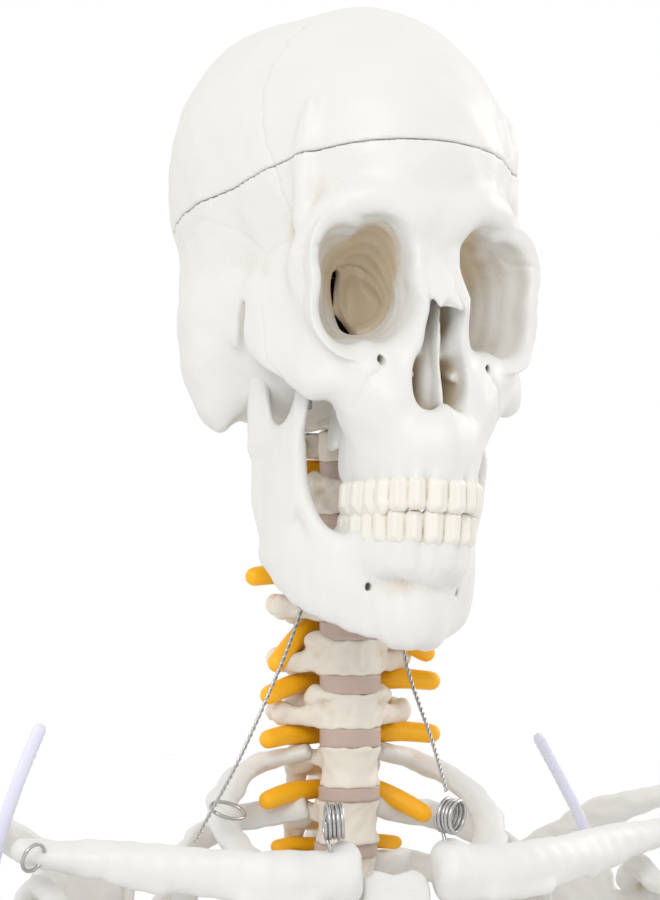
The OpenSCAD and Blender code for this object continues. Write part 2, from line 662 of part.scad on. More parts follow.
module femur(s) color(bone) mirror_side(s) difference() {
    fused() {
        translate(hip) sphere(10, $fn = 24);
        limb([hip + [3, 0, -1], hip + [11, 0, -6], hip + [18, 2, -10]], [[5.6, 6], [5, 6], [6, 8]], 1,
            10);
        limb([[56, 4, 468], [55, 3, 450], [51, 0, 420], [46, -3, 370], [40, -2, 320], [36, 0, 292],
            [34, 0, 280], [34, 0, 276]],
            [[4, 6], [6.4, 7], [5.4, 5.6], [5.2, 5.4], [6, 5.8], [12, 6], [14, 6.6], [14, 6.6]], 1, 12,
                [0, 1, 0]);
        translate(knee) rotate([0, 90, 0]) cylinder(r = 9, h = 29, center = true, $fn = 24);
    }
    // Room for the hip pin, which the leg is spread on
    translate(hip + [0, 2.9, 0]) rotate([90, 0, 0]) linear_extrude(5.8)
        polygon([[1, 3.2], [1, -3.2], [-12, -4.8], [-12, 5.4]]);
    // The notch between the condyles, and the pin bore
    translate(knee + [-3.2, -4.8, -10]) cube([6.4, 16, 19.6]);
    x_pin(1.4, 14, knee);
}

module patella(s) color(bone) mirror_side(s) translate(knee + [0, -11.8, 5]) scale([7.6, 2.6,
    8]) sphere(1, $fn = 12);

module knee_pin(s) color(steel) mirror_side(s) x_pin(1.4, 14, knee);

module lower_leg(s) color(bone) mirror_side(s) difference() {
    fused() {
        translate(knee) rotate([0, 90, 0]) cylinder(r = 4.4, h = 5.2, center = true, $fn = 20);
        translate(knee + [-2.6, -3, -13]) cube([5.2, 7, 12]);
        limb([[34, 0, 262.2], [34, 0, 258], [34, -1, 246], [33.5, -3, 225], [33, -2, 180], [33, 0, 130],
            [33, 0, 112], [33, 0, 104]],
            [[14.5, 9.5], [14.5, 10], [10, 8.5], [6.4, 6.8], [5.2, 5.8], [4.6, 4.8], [7, 6], [9, 6.4]],
                1, 12, [0, 1, 0]);
        limb([[24.6, 0, 107], [24.2, 0, 99], [24.6, 0, 92]], [[2.6, 5], [1.8, 4.6], [1.4, 3]], 1, 8,
            [0, 1, 0]);
        limb([[47, 5, 254], [48, 6, 246], [47, 6, 200], [44.5, 4, 140], [42.6, 3, 108], [42, 2, 99],
            [41.4, 2, 88]],
            [[3, 3], [2.4, 2.4], [1.9, 1.9], [1.9, 1.9], [2.4, 2.8], [1.9, 4.4], [1.2, 2.8]], 1, 8,
                [0, 1, 0]);
    }
    translate(knee) rotate([0, 90, 0]) cylinder(r = 1.7, h = 40, center = true, $fn = 24);
    translate(ankle) rotate([0, 90, 0]) cylinder(r = 1.7, h = 40, center = true, $fn = 24);
}

toe_x = [-11, -4.6, 0.6, 5.4, 10];
toe_len = [42, 42, 39, 35, 31];
module foot(s) color(bone) mirror_side(s) fused() translate(ankle) {
    rotate([0, 90, 0]) cylinder(r = 6.2, h = 11.2, center = true, $fn = 20);
    rotate([0, 90, 0]) cylinder(r = 1.4, h = 19.4, center = true, $fn = 13);
    limb([[0, -1, -5], [-1, -14, -10], [-1, -27, -16]], [[5.6, 6], [6.6, 6], [10, 6]], 1, 8);
    limb([[0.6, 2, -9], [0.8, 10, -18], [0.8, 18, -26], [0.8, 23, -25]], [[5.4, 6], [6, 8], [6.4, 9.4],
        [4.6, 6.6]], 1, 9);
    limb([[2, 12, -24], [5, -6, -26], [7, -24, -26]], [[5, 6], [5, 5], [4, 5]], 1);
    for (k = [0:4]) {
        big = k == 0 ? 1.5 : 1;
        x = toe_x[k];
        limb([[x * 0.8 - 1, -22.5 - 0.4 * k, -20.2], [x - 1, -38, -27], [x - 1.5, -54 + 2 * k, -33]],
            [[2.8, 3], [1.7 * big, 1.8 * big], [2.5 * big, 2.6 * big]], 1);
        limb([[x - 1.4, -50 + 2 * k, -32], [x - 2, -62 + 2 * k, -34],
            [x - 2.4, -41 - 1.02 * toe_len[k] + k, -34.8]],
            [[1.7 * big, 1.6 * big], [1.3 * big, 1.3 * big], [1.3 * big, 1.2 * big]], 1, 7);
    }
}

// ---- Output ----

base_plate();
base_feet();
rod_socket();
stand_rod();
pelvic_bracket();
bracket_bolts();
sacrum();
lumbar_vertebrae();
thoracic_vertebrae();
cervical_vertebrae();
axis_vertebra();
atlas_vertebra();
neck_bolt();
intervertebral_discs();
spinal_cord();
nerve_roots_neck();
nerve_roots_trunk();
sternum();
costal_cartilages();
ribs(right);  // ribs_right
ribs(left);  // ribs_left
clavicle(right);  // clavicle_right
clavicle(left);  // clavicle_left
scapula(right);  // scapula_right
scapula(left);  // scapula_left
collar_springs();
suspension_wires();
shoulder_straps();
skull_base();
skull_cap();
mandible();
jaw_springs();
hip_bone(right);  // hip_bone_right
hip_bone(left);  // hip_bone_left
pubic_symphysis();
shoulder_eye(right);  // shoulder_eye_right
shoulder_eye(left);  // shoulder_eye_left
humerus(right);  // humerus_right
humerus(left);  // humerus_left
elbow_pin(right);  // elbow_pin_right
elbow_pin(left);  // elbow_pin_left
ulna(right);  // ulna_right
ulna(left);  // ulna_left
radius(right);  // radius_right
radius(left);  // radius_left
hand(right);  // hand_right
hand(left);  // hand_left
hip_link(right);  // hip_link_right
hip_link(left);  // hip_link_left
femur(right);  // femur_right
femur(left);  // femur_left
patella(right);  // patella_right
patella(left);  // patella_left
knee_pin(right);  // knee_pin_right
knee_pin(left);  // knee_pin_left
lower_leg(right);  // lower_leg_right
lower_leg(left);  // lower_leg_left
foot(right);  // foot_right
foot(left);  // foot_left
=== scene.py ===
import json
import math
import random
import bpy
import numpy as np
import openvdb
from mathutils import Euler, Matrix, Vector


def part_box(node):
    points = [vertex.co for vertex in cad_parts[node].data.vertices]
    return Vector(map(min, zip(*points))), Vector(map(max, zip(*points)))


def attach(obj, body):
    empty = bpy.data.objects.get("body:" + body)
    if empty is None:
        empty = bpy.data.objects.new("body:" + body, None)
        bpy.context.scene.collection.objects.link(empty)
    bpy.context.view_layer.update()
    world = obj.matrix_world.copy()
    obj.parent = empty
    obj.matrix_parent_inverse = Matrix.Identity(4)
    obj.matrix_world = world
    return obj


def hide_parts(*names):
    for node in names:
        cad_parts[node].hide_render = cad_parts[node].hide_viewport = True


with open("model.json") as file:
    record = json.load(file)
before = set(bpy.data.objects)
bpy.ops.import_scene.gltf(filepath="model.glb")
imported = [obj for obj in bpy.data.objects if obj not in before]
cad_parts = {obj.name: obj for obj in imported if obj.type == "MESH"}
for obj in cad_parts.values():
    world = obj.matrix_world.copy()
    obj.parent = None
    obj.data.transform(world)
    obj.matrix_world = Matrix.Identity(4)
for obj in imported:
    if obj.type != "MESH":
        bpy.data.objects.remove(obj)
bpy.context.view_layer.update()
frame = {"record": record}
MM = 0.001
COARSE = 1.0
# Distances beyond this aren't told apart
FAR = 6.0
LOOSE = random.Random(7)
TRUNK = "trunk_on_stand"

# ---- Modelling clay: a distance field that shapes are blended into and carved out of ----


class Clay:
    """A distance field in its own units. Every shape is (low corner, high corner, distance function).

    mass is an optional second field, for pieces whose hollows, where shade is painted, should be judged with
    others filled in.
    """

    def __init__(self, low, high, step):
        self.step = step * COARSE
        self.low = np.array(low, np.float32)
        size = np.ceil((np.array(high) - self.low) / self.step).astype(int) + 1
        self.field = np.full(size, FAR, np.float32)
        self.mass = None

    def window(self, low, high):
        """The cells between two corners, and their three coordinate axes."""
        size = np.array(self.field.shape)
        first = np.clip(np.floor((low - self.low) / self.step).astype(int), 0, size)
        last = np.clip(np.ceil((high - self.low) / self.step).astype(int) + 1, 0, size)
        axes = [self.low[i] + self.step * np.arange(first[i], last[i], dtype=np.float32) for i in range(3)]
        cut = tuple(slice(a, b) for a, b in zip(first, last))
        return cut, axes[0][:, None, None], axes[1][None, :, None], axes[2][None, None, :]

    def add(self, shape, soft=2.0):
        low, high, distance = shape
        cut, x, y, z = self.window(np.array(low) - soft - FAR / 2, np.array(high) + soft + FAR / 2)
        old = self.field[cut]
        if old.size:
            new = distance(x, y, z)
            self.field[cut] = np.minimum(old, new) - np.maximum(soft - np.abs(old - new), 0) ** 2 / (4 * soft)

    def carve(self, shape, soft=2.0):
        low, high, distance = shape
        cut, x, y, z = self.window(np.array(low) - soft, np.array(high) + soft)
        old = self.field[cut]
        if old.size:
            new = -distance(x, y, z)
            self.field[cut] = np.maximum(old, new) + np.maximum(soft - np.abs(old - new), 0) ** 2 / (4 * soft)

    def tubes(self, stations, soft, side=(1, 0, 0), carve=False):
        """Adds or carves a tube on one side and its mirror image in x on the other."""
        for s in (-1, 1):
            mirrored = [(s * x, *rest) for x, *rest in stations]
            shape = tube(mirrored, side=(s * side[0], *side[1:]))
            (self.carve if carve else self.add)(shape, soft)

    def eggs(self, centre, radii, soft, tilt=(0, 0, 0), carve=False):
        """Adds or carves an ellipsoid on one side and its mirror image in x on the other."""
        for s in (-1, 1):
            lean = (tilt[0], s * tilt[1], s * tilt[2]) if any(tilt) else None
            (self.carve if carve else self.add)(egg((s * centre[0], *centre[1:]), radii, lean), soft)

    def weather(self, depth, size):
        """Slight unevenness, as a hand-finished moulding has."""
        near = np.nonzero(np.abs(self.field) < 2 * self.step + depth)
        x, y, z = (self.low[i] + self.step * near[i] for i in range(3))
        rough = 0
        waves = 6
        for _ in range(waves):
            way = [LOOSE.gauss(0, 1) for _ in range(3)]
            pull = 2 * math.pi / size / math.sqrt(sum(w * w for w in way)) * LOOSE.uniform(0.6, 1.7)
            rough = rough + np.sin((x * way[0] + y * way[1] + z * way[2]) * pull + LOOSE.uniform(0, 6))
        self.field[near] += (depth * rough / 2.4).astype(np.float32)

    def score(self, line, across, depth=0.5, width=0.7, limit=0.0):
        """A fine groove that follows a line drawn on the front (x, z) or on both sides (y, z)."""
        near = np.nonzero(np.abs(self.field) < 3)
        p = [self.low[i] + self.step * near[i] for i in range(3)]
        a, b = (p[0], p[2]) if across == "front" else (p[1], p[2])
        best = np.full(len(a), 99.0)
        for (a0, b0), (a1, b1) in zip(line[:-1], line[1:]):
            da, db = a1 - a0, b1 - b0
            t = np.clip(((a - a0) * da + (b - b0) * db) / (da ** 2 + db ** 2), 0, 1)
            best = np.minimum(best, np.hypot(a - a0 - t * da, b - b0 - t * db))
        here = p[1] > limit if across == "front" else np.abs(p[0]) > limit
        self.field[near] += (np.where(here, depth * np.exp(-(best / width) ** 2), 0)).astype(np.float32)

    def grid(self):
        return self.window(self.low, self.low + self.step * np.array(self.field.shape))[1:]


def egg(centre, radii, tilt=None):
    """An ellipsoid; tilt is an Euler angle in degrees."""
    c, r = np.array(centre, np.float32), np.array(radii, np.float32)
    turn = None if tilt is None else np.array(Euler([math.radians(a) for a in tilt]).to_matrix(), np.float32)
    reach = r if turn is None else np.full(3, r.max())

    def distance(x, y, z):
        p = (x - c[0], y - c[1], z - c[2])
        if turn is not None:
            p = [p[0] * turn[0, i] + p[1] * turn[1, i] + p[2] * turn[2, i] for i in range(3)]
        k0 = np.sqrt((p[0] / r[0]) ** 2 + (p[1] / r[1]) ** 2 + (p[2] / r[2]) ** 2)
        k1 = np.sqrt((p[0] / r[0] ** 2) ** 2 + (p[1] / r[1] ** 2) ** 2 + (p[2] / r[2] ** 2) ** 2)
        return k0 * (k0 - 1) / np.maximum(k1, 1e-6)

    return c - reach, c + reach, distance


def block(centre, half, rounding, turn=0.0, taper=0.0):
    """A rounded box, turned about Z and tapering upwards."""
    c, h = np.array(centre, np.float32), np.array(half, np.float32)
    ct, st = math.cos(math.radians(turn)), math.sin(math.radians(turn))
    reach = np.full(3, float(np.linalg.norm(h)))

    def distance(x, y, z):
        a, b, w = x - c[0], y - c[1], z - c[2]
        u, v = a * ct + b * st, b * ct - a * st
        thin = 1 - taper * np.clip(w / h[2], -1, 1)
        q = [np.abs(u) / thin - h[0] + rounding,
             np.abs(v) / thin - h[1] + rounding,
             np.abs(w) - h[2] + rounding]
        outer = np.sqrt(sum(np.maximum(i, 0) ** 2 for i in q))
        return outer + np.minimum(np.maximum(np.maximum(q[0], q[1]), q[2]), 0) - rounding

    return c - reach, c + reach, distance


def smooth_path(points, steps=4):
    """Catmull-Rom curve through points of any dimension."""
    p = [np.array(q, np.float32) for q in points]
    path = []
    for i in range(len(p) - 1):
        a, b, c, d = p[max(i - 1, 0)], p[i], p[i + 1], p[min(i + 2, len(p) - 1)]
        for k in range(steps):
            t = k / steps
            path.append(0.5 * (2 * b + (c - a) * t + (2 * a - 5 * b + 4 * c - d) * t * t
                               + (3 * b - a - 3 * c + d) * t * t * t))
    return path + [p[-1]]


def tube(stations, steps=4, side=(1, 0, 0)):
    """An oval tube through stations (x, y, z, half-width along side, half-width across it)."""
    path = smooth_path([s if len(s) == 5 else (*s, s[3]) for s in stations], steps)
    q = np.array(path)
    reach = q[:, 3:].max(axis=1)[:, None]
    low, high = (q[:, :3] - reach).min(axis=0), (q[:, :3] + reach).max(axis=0)
    side = np.array(side, np.float32)

    def distance(x, y, z):
        best = None
        for a, b in zip(path[:-1], path[1:]):
            along = b[:3] - a[:3]
            length = max(float(np.linalg.norm(along)), 1e-4)
            t = along / length
            v = np.cross(t, side)
            v /= max(float(np.linalg.norm(v)), 1e-4)
            u = np.cross(v, t)
            px, py, pz = x - a[0], y - a[1], z - a[2]
            h = np.clip((px * t[0] + py * t[1] + pz * t[2]) / length, 0, 1)
            px, py, pz = px - h * along[0], py - h * along[1], pz - h * along[2]
            ru, rv = a[3] + h * (b[3] - a[3]), a[4] + h * (b[4] - a[4])
            rt = np.minimum(ru, rv)
            du = px * u[0] + py * u[1] + pz * u[2]
            dv = px * v[0] + py * v[1] + pz * v[2]
            dt = px * t[0] + py * t[1] + pz * t[2]
            k0 = np.sqrt((du / ru) ** 2 + (dv / rv) ** 2 + (dt / rt) ** 2)
            k1 = np.sqrt((du / ru ** 2) ** 2 + (dv / rv ** 2) ** 2 + (dt / rt ** 2) ** 2)
            d = np.where(k0 < 0.05, -rt, k0 * (k0 - 1) / np.maximum(k1, 1e-6))
            best = d if best is None else np.minimum(best, d)
        return best

    return low, high, distance


def box_blur(a, radius):
    """Mean over a cube of the given half-width, in cells."""
    for axis in range(3):
        n = a.shape[axis]
        total = np.cumsum(np.concatenate([np.zeros_like(a.take([0], axis)), a], axis), axis, dtype=np.float32)
        upper = np.minimum(np.arange(n) + radius + 1, n)
        lower = np.maximum(np.arange(n) - radius, 0)
        a = (total.take(upper, axis) - total.take(lower, axis)) / (2 * radius + 1)
    return a


def hand_over(name, mesh, body, material, stands_for):
    """Makes a mesh an object that rides on a body and stands for CAD nodes."""
    mesh.materials.append(material)
    obj = bpy.data.objects.new(name, mesh)
    bpy.context.scene.collection.objects.link(obj)
    if stands_for:
        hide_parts(*stands_for)
    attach(obj, body)


def sculpt(name, clay, to_world, body, material, stands_for=(), hollow=3.0):
    """Turns clay into a piece. Its attribute hollow says how enclosed a point is, within that distance, and
    sets how much shade is painted there.
    """
    pad = np.pad(clay.field, 1, constant_values=FAR)
    grid = openvdb.FloatGrid(FAR)
    grid.copyFromArray(np.ascontiguousarray(np.clip(pad, -FAR, FAR)))
    points, quads = grid.convertToQuads(isovalue=0.0)
    points = np.array(points, np.float32)
    mass = pad if clay.mass is None else np.pad(clay.mass, 1, constant_values=FAR)
    reach = max(1, round(hollow / clay.step / 2))
    solid = box_blur(box_blur(np.clip(0.5 - mass / clay.step, 0, 1), reach), reach)
    near = np.clip(np.round(points).astype(int), 0, np.array(pad.shape) - 1)
    enclosed = solid[near[:, 0], near[:, 1], near[:, 2]]
    place = (clay.low + clay.step * (points - 1)).astype(np.float32)
    corners = to_world(place).astype(np.float32)
    q = np.array(quads, np.int64)
    tri = corners[q[:, :3]]
    if np.einsum("ij,ij->", tri[:, 0], np.cross(tri[:, 1], tri[:, 2])) < 0:
        q = q[:, ::-1]
    mesh = bpy.data.meshes.new(name)
    mesh.vertices.add(len(corners))
    mesh.vertices.foreach_set("co", corners.ravel())
    mesh.loops.add(q.size)
    mesh.loops.foreach_set("vertex_index", np.ascontiguousarray(q).ravel().astype(np.int32))
    mesh.polygons.add(len(q))
    mesh.polygons.foreach_set("loop_start", np.arange(0, q.size, 4, dtype=np.int32))
    mesh.polygons.foreach_set("use_smooth", np.ones(len(q), bool))
    mesh.update(calc_edges=True)
    # The hollow attribute is the mask of the painted shade in the materials
    mesh.attributes.new("hollow", "FLOAT", "POINT").data.foreach_set("value", enclosed.astype(np.float32))
    hand_over(name, mesh, body, material, stands_for)


def drum(centre, half_x, half_y, height, waist=0.14, rounding=0.7):
    """A vertebral body: an upright oval drum whose side is drawn in at mid-height."""
    c = np.array(centre, np.float32)
    reach = np.array([half_x, half_y, height / 2], np.float32)

    def distance(x, y, z):
        w = (z - c[2]) / (height / 2)
        ring = 1 - waist * (1 - np.clip(w * w, 0, 1))
        outward = np.sqrt(((x - c[0]) / half_x) ** 2 + ((y - c[1]) / half_y) ** 2)
        round_off = (outward - ring) * min(half_x, half_y)
        q = (round_off + rounding, np.abs(z - c[2]) - height / 2 + rounding + 0 * round_off)
        outer = np.sqrt(np.maximum(q[0], 0) ** 2 + np.maximum(q[1], 0) ** 2)
        return outer + np.minimum(np.maximum(q[0], q[1]), 0) - rounding

    return c - reach, c + reach, distance


def in_millimetres(p):
    return p * MM


def cad_mesh(node):
    """Corners in millimetres and triangles of a CAD node, welded where they lie within a micrometre."""
    mesh = bpy.data.objects[node].data
    corners = np.empty(len(mesh.vertices) * 3, np.float32)
    mesh.vertices.foreach_get("co", corners)
    mesh.calc_loop_triangles()
    triangles = np.empty(len(mesh.loop_triangles) * 3, np.int32)
    mesh.loop_triangles.foreach_get("vertices", triangles)
    corners, same = np.unique(np.round(corners.reshape(-1, 3) * 1e6), axis=0, return_inverse=True)
    return (corners / 1000).astype(np.float32), same.ravel()[triangles].reshape(-1, 3)


def solids_of(node):
    """Lowest and highest corner, in millimetres, of each separate solid in a CAD node, from the lowest up."""
    corners, triangles = cad_mesh(node)
    label = np.arange(len(corners))
    while True:
        least = label[triangles].min(axis=1)
        fresh = label.copy()
        for k in range(3):
            np.minimum.at(fresh, triangles[:, k], least)
        fresh = fresh[fresh]
        if np.array_equal(fresh, label):
            break
        label = fresh
    found = [(corners[label == k].min(axis=0), corners[label == k].max(axis=0)) for k in np.unique(label)]
    return sorted(found, key=lambda box: box[0][2])


def recast(node, step, swell=0.0):
    """Clay in the shape of a CAD node, with the edges softened by about a cell."""
    points, triangles = cad_mesh(node)
    clay = Clay(points.min(axis=0) - 3, points.max(axis=0) + 3, step)
    cell = clay.step
    grid = openvdb.FloatGrid.createLevelSetFromPolygons(
        points=((points - clay.low) / cell).astype(np.float32), triangles=triangles.astype(np.uint32),
        halfWidth=3.0)
    grid.copyToArray(clay.field)
    clay.field = box_blur(np.clip(clay.field, -3, 3), 1) * cell - swell
    clay.field[clay.field > 2 * cell] = FAR
    return clay


def frames_along(path, closed=False):
    """Unit vectors across a path, carried along it without twist."""
    p = np.array(path, float)
    along = np.roll(p, -1, 0) - np.roll(p, 1, 0) if closed else np.gradient(p, axis=0)
    along /= np.linalg.norm(along, axis=1)[:, None]
    across = []
    v = np.cross(along[0], (0, 0, 1) if abs(along[0][2]) < 0.9 else (0, 1, 0))
    for t in along:
        v = v - t * np.dot(v, t)
        v /= np.linalg.norm(v)
        across.append(v)
    across = np.array(across)
    return across, np.cross(along, across)


def pipe(name, path, radius, material, stands_for=(), sides=8, closed=False, flat=1.0):
    """A round or flattened rod on the trunk, along a path in millimetres.

    radius is one number or one for each point. The ends are round unless the rod is closed.
    """
    path = [np.array(q, float) for q in path]
    radii = list(radius) if hasattr(radius, "__len__") else [radius] * len(path)
    if not closed:
        for end in (0, -1):
            tip, inner, r = path[end], path[1 if end == 0 else -2], radii[end]
            out = (tip - inner) / np.linalg.norm(tip - inner)
            cap = [(tip + out * r * math.sin(a), r * math.cos(a)) for a in (0.5, 0.95, 1.3, 1.5)]
            if end == 0:
                path, radii = [c[0] for c in cap[::-1]] + path, [c[1] for c in cap[::-1]] + radii
            else:
                path, radii = path + [c[0] for c in cap], radii + [c[1] for c in cap]
    u, v = frames_along(path, closed)
    angle = np.arange(sides) * 2 * math.pi / sides
    ring = (np.cos(angle)[None, :, None] * u[:, None] + flat * np.sin(angle)[None, :, None] * v[:, None])
    corners = (np.array(path)[:, None] + ring * np.array(radii)[:, None, None]).reshape(-1, 3) * MM
    faces = []
    count = len(path)
    for i in range(count if closed else count - 1):
        a, b = i * sides, (i + 1) % count * sides
        faces += [(a + k, a + (k + 1) % sides, b + (k + 1) % sides, b + k) for k in range(sides)]
    if not closed:
        faces += [tuple(range(sides))[::-1], tuple((count - 1) * sides + k for k in range(sides))]
    mesh = bpy.data.meshes.new(name)
    mesh.from_pydata(corners.tolist(), [], faces)
    mesh.polygons.foreach_set("use_smooth", np.ones(len(faces), bool))
    hand_over(name, mesh, TRUNK, material, stands_for)


def paint(material, *nodes):
    """A CAD node whose shape is right keeps it and takes a better material."""
    for node in nodes:
        mesh = bpy.data.objects[node].data
        mesh.materials.clear()
        mesh.materials.append(material)


# ---- Materials ----


def material(name, base, rough, bump=0.0, grain=900.0, hollow_shade_colour=None, hollow_from=0.55, hollow_to=0.85,
             metallic=0.0, coat=0.0, soft=0.0, mottle=0.03):
    """Moulded plastic or metal: faint colour mottling, uneven gloss, fine grain, and painted shade, a darker
    tint in the hollows.

    hollow_from and hollow_to are how enclosed a point is where the painted shade starts and where it is full.
    """
    m = bpy.data.materials.new(name)
    m.use_nodes = True
    nodes, links = m.node_tree.nodes, m.node_tree.links
    shader = nodes["Principled BSDF"]
    place = nodes.new("ShaderNodeTexCoord")
    large = nodes.new("ShaderNodeTexNoise")
    large.inputs["Scale"].default_value = grain / 12
    large.inputs["Detail"].default_value = 4
    links.new(place.outputs["Object"], large.inputs["Vector"])
    tone = nodes.new("ShaderNodeMix")
    tone.data_type = "RGBA"
    tone.inputs[6].default_value = (*[c * (1 - mottle) for c in base], 1)
    tone.inputs[7].default_value = (*[min(c * (1 + mottle), 1) for c in base], 1)
    links.new(large.outputs["Fac"], tone.inputs[0])
    colour = tone.outputs[2]
    # Painted shade: the colour is drawn towards a darker one the more enclosed a point is
    if hollow_shade_colour:
        enclosed = nodes.new("ShaderNodeAttribute")
        enclosed.attribute_name = "hollow"
        ramp = nodes.new("ShaderNodeMapRange")
        ramp.interpolation_type = "SMOOTHSTEP"
        ramp.inputs["From Min"].default_value = hollow_from
        ramp.inputs["From Max"].default_value = hollow_to
        links.new(enclosed.outputs["Fac"], ramp.inputs["Value"])
        painted_shade = nodes.new("ShaderNodeMix")
        painted_shade.data_type = "RGBA"
        links.new(ramp.outputs[0], painted_shade.inputs[0])
        links.new(colour, painted_shade.inputs[6])
        painted_shade.inputs[7].default_value = (*hollow_shade_colour, 1)
        colour = painted_shade.outputs[2]
    links.new(colour, shader.inputs["Base Color"])
    fine = nodes.new("ShaderNodeTexNoise")
    fine.inputs["Scale"].default_value = grain
    fine.inputs["Detail"].default_value = 5
    links.new(place.outputs["Object"], fine.inputs["Vector"])
    gloss = nodes.new("ShaderNodeMapRange")
    gloss.inputs["To Min"].default_value = rough * 0.85
    gloss.inputs["To Max"].default_value = min(rough * 1.2, 1)
    links.new(fine.outputs["Fac"], gloss.inputs["Value"])
    links.new(gloss.outputs[0], shader.inputs["Roughness"])
    if bump:
        relief = nodes.new("ShaderNodeBump")
        relief.inputs["Strength"].default_value = bump
        relief.inputs["Distance"].default_value = 0.0003
        links.new(fine.outputs["Fac"], relief.inputs["Height"])
        links.new(relief.outputs["Normal"], shader.inputs["Normal"])
    shader.inputs["Metallic"].default_value = metallic
    shader.inputs["Coat Weight"].default_value = coat
    shader.inputs["Coat Roughness"].default_value = 0.25
    if soft:
        shader.inputs["Subsurface Weight"].default_value = soft
        shader.inputs["Subsurface Radius"].default_value = (1.0, 0.7, 0.5)
        shader.inputs["Subsurface Scale"].default_value = 0.0015
    return m


# The hollow colours below are painted shade: the hollows are darkened towards them
BEIGE_SHADE = (0.6, 0.5, 0.36)
BONE = material("bone_plastic", (0.73, 0.72, 0.69), 0.42, bump=0.25, hollow_shade_colour=BEIGE_SHADE, hollow_from=0.52,
                hollow_to=0.76)
NECK_BONE = material("neck_plastic", (0.76, 0.7, 0.61), 0.45, bump=0.3, hollow_shade_colour=(0.58, 0.46, 0.32),
                     hollow_from=0.5, hollow_to=0.72)
TEETH = material("teeth_plastic", (0.78, 0.75, 0.68), 0.3, bump=0.1, hollow_shade_colour=(0.55, 0.42, 0.28),
                 hollow_from=0.56, hollow_to=0.8)
CARTILAGE = material("cartilage_plastic", (0.72, 0.68, 0.6), 0.45, bump=0.25, hollow_shade_colour=BEIGE_SHADE)
NERVE = material("nerve_rubber", (1.0, 0.47, 0.002), 0.4, bump=0.3, grain=1600, soft=0.08)
DISC = material("disc_gel", (0.52, 0.4, 0.345), 0.4, bump=0.2, soft=0.3)
WIRE = material("steel_wire", (0.5, 0.49, 0.48), 0.25, metallic=1.0)
STEEL = material("plain_steel", (0.55, 0.55, 0.56), 0.32, bump=0.1, metallic=1.0)
CHROME = material("bright_tube", (0.75, 0.75, 0.76), 0.12, metallic=1.0)
STRAP = material("tie_nylon", (0.72, 0.73, 0.86), 0.35, bump=0.1, soft=0.15)
BOARD = material("base_board", (0.72, 0.72, 0.71), 0.35, bump=0.15, coat=0.2)
RUBBER = material("foot_rubber", (0.02, 0.02, 0.02), 0.7, bump=0.4)

# ---- The head's own frame, in anatomical life-size millimetres: x to its left, y forward, z up ----

HEAD_ORIGIN = (0.0, 20.0, 789.0)
HEAD_TURN, HEAD_TILT, HEAD_LEAN = 7.0, 4.0, 4.0
# This model's size against life, across and upwards
LIFE_ACROSS = 0.427
LIFE_UP = 0.535
HEAD_POSE = np.array((Matrix.Rotation(math.radians(HEAD_TURN), 3, "Z")
                      @ Matrix.Rotation(math.radians(HEAD_LEAN), 3, "Y")
                      @ Matrix.Rotation(math.radians(-HEAD_TILT), 3, "X")))
# The saw cut: a point on it in front, in this model's size (y, z), its fall to the back, and half its width
CUT_FRONT = (-38.5, 33.4)
CUT_FALL = math.radians(12)
CUT_GAP = 0.18
# How much narrower the face is than the shapes below, and how far back the upper face lies
FACE_NARROW = 0.14
UPPER_FACE_BACK = 13
SKULL_LOW, SKULL_HIGH = (-76, -94, -52), (76, 104, 122)
HEAD_STEP = 0.8


def smooth(t):
    t = np.clip(t, 0, 1)
    return t * t * (3 - 2 * t)


def from_life(p):
    """Life-size head coordinates to the frame in metres. The face is narrowed and its upper part set back."""
    slim = 1 - FACE_NARROW * smooth((p[:, 1] + 12) / 26) * smooth((90 - p[:, 2]) / 85)
    beside_nose = smooth((p[:, 2] + 24) / 28) * smooth((np.abs(p[:, 0]) - 8) / 14)
    back = UPPER_FACE_BACK * np.maximum(beside_nose, smooth((p[:, 2] - 4) / 20))
    p = p - np.outer(back * smooth((p[:, 1] - 5) / 55), (0, 1, 0))
    model = p * np.array([LIFE_ACROSS, -LIFE_ACROSS, LIFE_UP])
    model[:, 0] *= slim
    return (model @ HEAD_POSE.T + np.array(HEAD_ORIGIN)) * MM


def above_cut(y, z):
    """Height over the saw cut, in life-size units."""
    model_y, model_z = -LIFE_ACROSS * y, LIFE_UP * z
    over = (model_z - CUT_FRONT[1]) * math.cos(CUT_FALL) + (model_y - CUT_FRONT[0]) * math.sin(CUT_FALL)
    return over / LIFE_UP


# Half the teeth, from the middle outwards: place, width, depth, height and turn of each
TOOTH_ARCH = [(4.7, 89.6, 9.2, 7, 8.7, 6), (13, 86.6, 7.8, 6.5, 8.1, 24), (18.6, 81, 8.2, 8, 8.6, 46),
              (21.8, 74, 7.8, 9, 8, 66), (23.2, 66.4, 7.8, 9.4, 7.8, 80), (24, 57.4, 11, 10, 7.8, 84),
              (24.4, 47.4, 10, 10, 7.6, 86)]
# Where the crowns leave the bone
UPPER_NECK = -49.6
LOWER_NECK = -67
TEETH_STEP = 0.4


def orbit(s, grow):
    """Four cones that meet at the back of an eye socket, which give it a rounded square mouth."""
    return [tube([(s * (34 + dx), 94, 15 + dz, 13.4 + grow),
                  (s * (33 + dx * 0.95), 76, 15 + dz * 0.95, 12.8 + grow),
                  (s * (27 + dx * 0.6), 60, 13.5 + dz * 0.6, 9.6 + grow), (s * 20, 47, 12, 5.5 + grow)], 3)
            for dx, dz in ((-7.5, 7.5), (8, 5.5), (-6.5, -6), (8, -8))]


